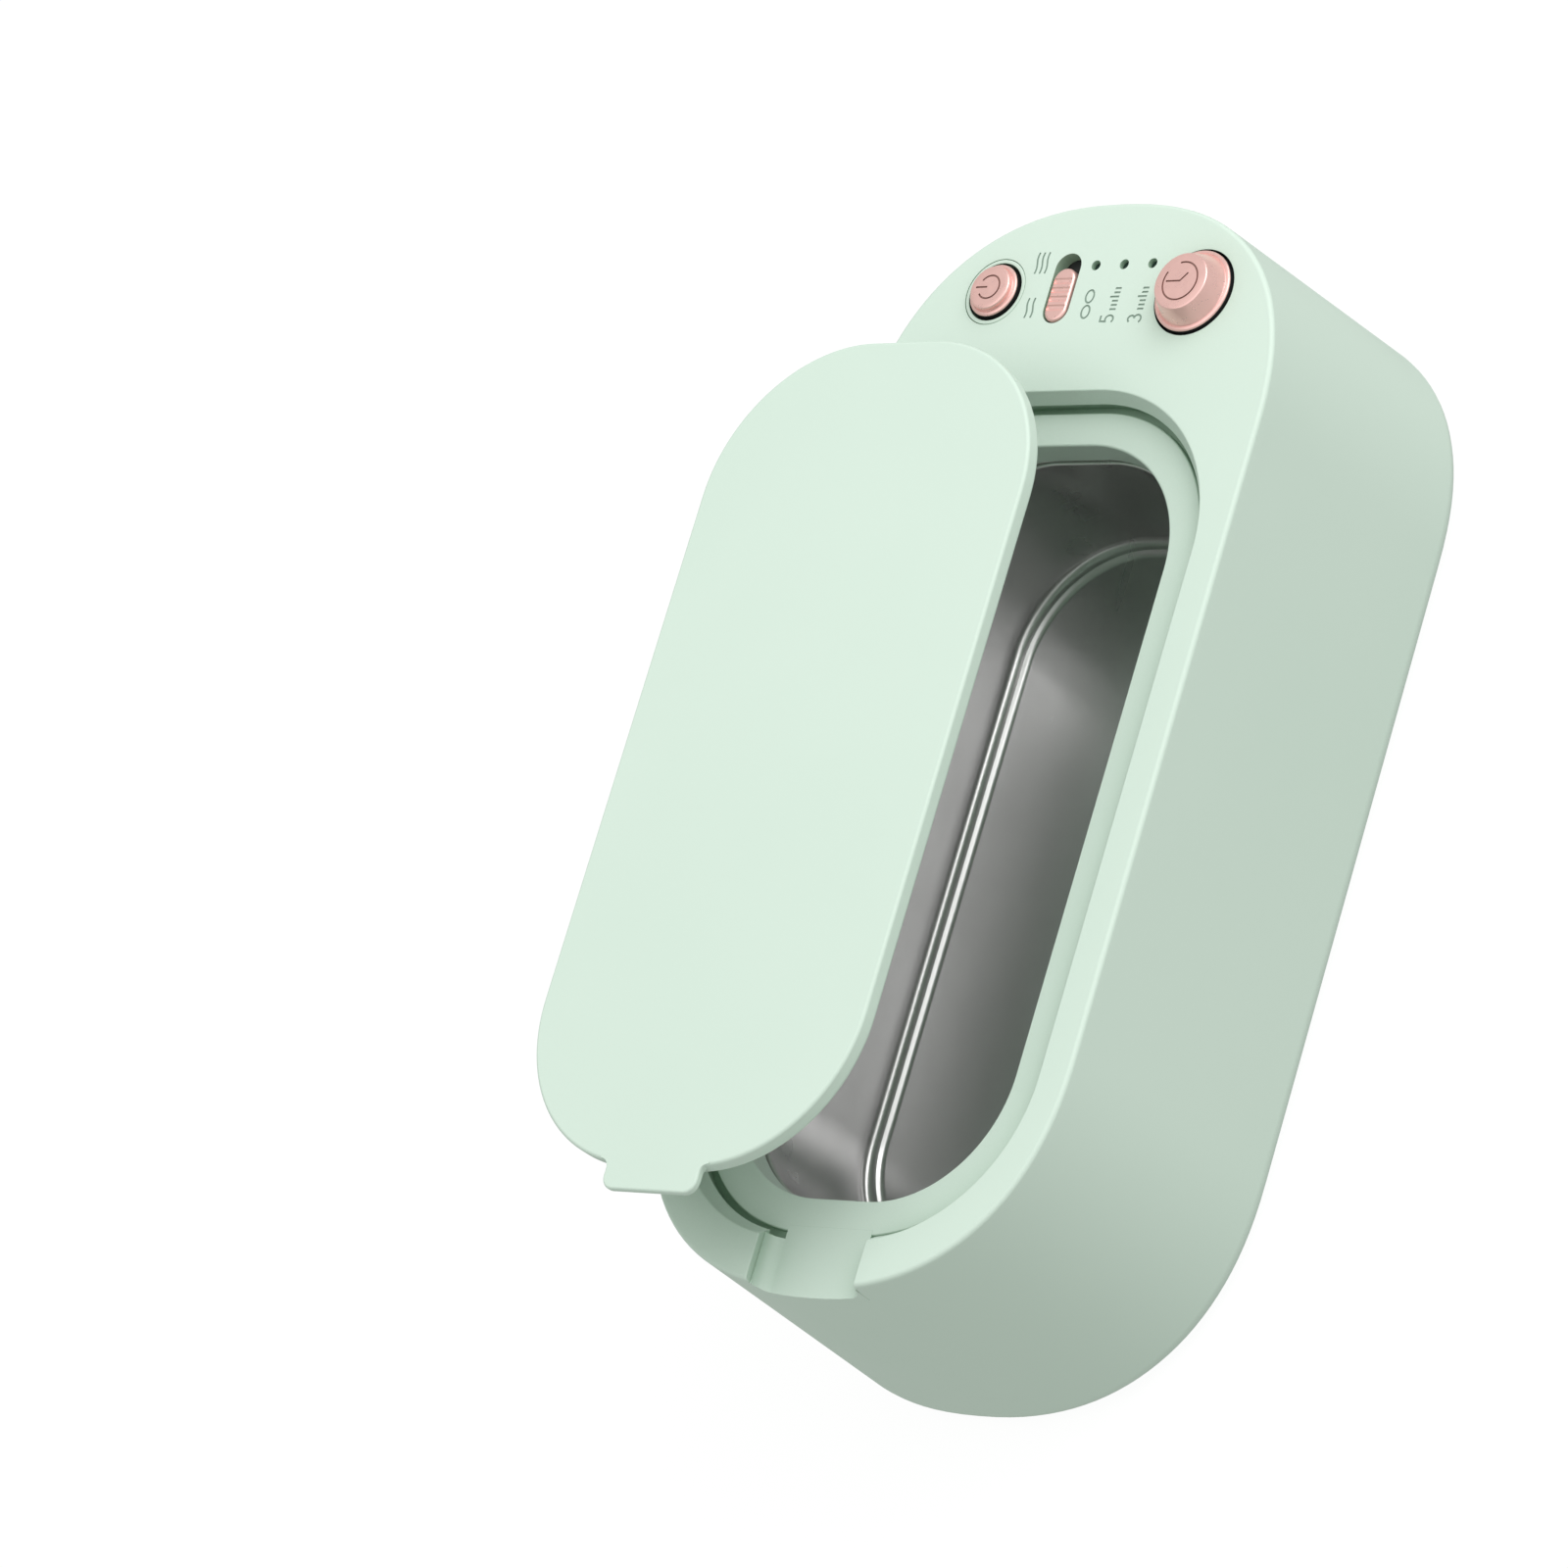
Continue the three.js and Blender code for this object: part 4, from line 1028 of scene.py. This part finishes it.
def make_feet():
    for name in FEET:
        x, y, _ = middle(name)
        low, high = cad_box(name)
        dimple = low[2] + 0.25
        corners = [
            (0, dimple, 0),
            (3.2, dimple, 0.2),
            (3.6, low[2], 0.2),
            (FOOT_RADIUS, low[2], 0.35),
            (FOOT_RADIUS, high[2], 0.1),
            (0, high[2], 0),
        ]
        foot = lathe(name.replace("foot", "rubber_foot"), x, y, rounded(corners, steps=5), 72)
        dress(foot, RUBBER)
        finish_shading(foot)
        hand_over(foot, "housing", "rubber", name)


def cross_recess(x, y, z0, z1, length, width):
    """The two arms of a cross-head's recess, as cutters."""
    arms = [block(x - length, x + length, y - width, y + width, z0, z1)]
    arms.append(block(x - width, x + width, y - length, y + length, z0, z1))
    return arms


def make_base_screws():
    for name in BASE_SCREWS:
        x, y, _ = middle(name)
        low, high = cad_box(name)
        head = low[2] + 1.3
        profile = rounded([(0, low[2], 0), (2.7, low[2], 0.6), (2.7, head, 0.1), (1, head, 0)], steps=5)
        turns = 18
        rise = (high[2] - 1.2 - head) / turns
        for turn in range(turns):
            z = head + rise * turn
            profile += [(0.78, z + rise * 0.2), (1.0, z + rise * 0.6)]
        profile.append((0.01, high[2]))
        screw = lathe(name.replace("base_screw", "screw"), x, y, profile, 40)
        combine(screw, cross_recess(x, y, low[2] - 1, low[2] + 0.8, 1.5, 0.32), "DIFFERENCE")
        dress(screw, SCREW)
        finish_shading(screw, 30)
        hand_over(screw, "housing", "screw_steel", name)


def lying(name, profile, sides=96):
    """A turned piece whose axis lies along Y through the inlet, from a list of (radius, y)."""
    loops = []
    for radius, y in profile:
        loops.append([(px, y, INLET_Z + pz) for px, pz, _ in circle(0, 0, max(radius, 0.001), 0, sides)])
    return loft(name, [loop[::-1] for loop in loops])


def make_inlet():
    low, high = cad_box("power_inlet")
    front = LENGTH / 2 - 1
    mouth = high[1]
    body = block(low[0], high[0], low[1], front, low[2], high[2])
    bevel_edges(body, lambda edge: True, 0.3)
    radius = INLET_RADIUS
    nose = [(0, front - 0.5), (radius, front - 0.5), (radius, mouth - 0.3)]
    nose += [(radius - 0.2, mouth - 0.06), (radius - 0.4, mouth), (0, mouth)]
    combine(body, [lying("nose", nose)], "UNION")
    radius = INLET_BORE
    bore = [(0, low[1] + 2.5), (radius, low[1] + 2.5), (radius, mouth - 0.4)]
    bore += [(radius + 0.5, mouth + 0.1), (radius + 0.5, mouth + 1), (0, mouth + 1)]
    combine(body, [lying("bore", bore)], "DIFFERENCE")
    dress(body, BLACK_AND_PAINTED_SHADE)
    tip = mouth - 1.5
    profile = [(0, low[1] + 1), (1, low[1] + 1), (1, tip - 0.6), (0.8, tip - 0.1), (0.4, tip), (0, tip)]
    pin = lying("inlet_pin", profile, 32)
    dress(pin, SCREW)
    combine(body, [pin], "UNION")
    body.name = "power_jack"
    finish_shading(body, 35)
    return hand_over(body, "housing", "black_plastic", "power_inlet")


# ------------------------------------------------------------------ finishes on the CAD's own pieces

CARRIED = {
    "tank_gasket": SILICONE,
    "tank_clamp": ALUMINIUM,
    "clamp_screw": SCREW,
    "control_screw": SCREW,
    "board_screw": SCREW,
    "led": LED,
    "control_board": BOARD,
    "main_board": BOARD,
    "power_switch": BLACK_AND_PAINTED_SHADE,
    "timer_switch": BLACK_AND_PAINTED_SHADE,
    "mode_switch": BLACK_AND_PAINTED_SHADE,
    "transformer": FERRITE,
    "inductor": COPPER,
    "capacitor": BLACK_AND_PAINTED_SHADE,
    "power_transistor": BLACK_AND_PAINTED_SHADE,
    "heat_sink": ALUMINIUM,
    "piezo_disc": CERAMIC,
    "piezo_bond": EPOXY,
    "disc_lead_1": RED,
    "disc_lead_2": BLACK_AND_PAINTED_SHADE,
    "board_cable": GREY,
}


def dress_carried():
    for name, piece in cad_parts.items():
        family = name if name in CARRIED else name.rsplit("_", 1)[0]
        if family in CARRIED:
            for slot in piece.material_slots:
                slot.material = CARRIED[family]


# ------------------------------------------------------------------ stage, light and camera


def make_stage():
    """A pale floor that sweeps up into a backdrop all round, in metres."""
    flat = 2.6
    sweep = 1.2
    steps = 12
    profile = [(0.0, 0.0), (flat, 0.0)]
    for step in range(1, steps + 1):
        angle = step / steps * math.pi / 2
        profile.append((flat + sweep * math.sin(angle), sweep - sweep * math.cos(angle)))
    profile.append((flat + sweep, 4.0))
    sides = 96
    verts = [(0, 0, 0)]
    faces = []
    for radius, z in profile[1:]:
        verts += [(x / MM, y / MM, z / MM) for x, y, z in circle(0, 0, radius, z, sides)]
    for i in range(sides):
        faces.append((0, 1 + i, 1 + (i + 1) % sides))
    for row in range(len(profile) - 2):
        low = 1 + row * sides
        for i in range(sides):
            j = (i + 1) % sides
            faces.append((low + i, low + sides + i, low + sides + j, low + j))
    stage = object_from("stage", verts, faces)
    stage.data.polygons.foreach_set("use_smooth", [True] * len(stage.data.polygons))
    nodes = Nodes("pale_floor").set(Base_Color=(0.1, 0.1, 0.1), Roughness=0.9, Specular_IOR_Level=0.0)
    nodes.set(Emission_Color=(1.0, 1.0, 1.0), Emission_Strength=0.93)
    dress(stage, nodes.material)
    stage.visible_diffuse = False
    stage.visible_glossy = False
    stage.visible_shadow = False


def area_light(name, place, target, width, depth, power, shape="RECTANGLE"):
    """A soft light at a place in metres, turned to its target."""
    light = bpy.data.lights.new(name, "AREA")
    light.shape = shape
    light.size = width
    light.size_y = depth
    light.energy = power
    holder = new_object(name, light)
    holder.location = place
    holder.rotation_euler = (Vector(target) - Vector(place)).to_track_quat("-Z", "Y").to_euler()
    holder.visible_camera = False
    return holder


def make_lights():
    world = bpy.data.worlds.new("studio")
    world.use_nodes = True
    background = world.node_tree.nodes["Background"]
    background.inputs["Color"].default_value = (0.94, 1.0, 0.94, 1.0)
    background.inputs["Strength"].default_value = 0.52
    bpy.context.scene.world = world
    area_light("overhead", (0.0, 0.0, 1.25), (0.0, 0.0, 0.0), 1.7, 1.7, 5.5, "DISK")
    area_light("key", (0.72, 1.13, 1.20), (0.0, 0.0, 0.03), 1.4, 1.4, 15.2)
    area_light("front", (1.41, 0.55, 1.13), (0.0, 0.0, 0.03), 1.5, 1.0, 4.6)


def make_camera():
    """The photograph's view: from above the notch end, with the camera rolled to one side."""
    place = Vector((0.84267, -0.42247, 0.98983))
    aim = Vector((-0.0477, -0.0042, 0.0435))
    roll = math.radians(-55.0)
    back = (place - aim).normalized()
    level = Vector((0, 0, 1)).cross(back).normalized()
    up = back.cross(level)
    right = level * math.cos(roll) + up * math.sin(roll)
    up = back.cross(right)
    camera = bpy.data.cameras.new("camera")
    camera.lens = 181.78
    camera.sensor_width = 36
    camera.clip_start = 0.01
    camera.clip_end = 30
    holder = new_object("camera", camera)
    holder.matrix_world = Matrix.Translation(place) @ Matrix((right, up, back)).transposed().to_4x4()
    bpy.context.scene.camera = holder


make_camera()
make_stage()
make_lights()
make_case()
make_trim()
make_tank()
make_lid()
make_buttons()
make_slider()
make_lenses()
make_base()
make_feet()
make_base_screws()
make_inlet()
dress_carried()

bpy.context.scene.view_settings.view_transform = "Standard"
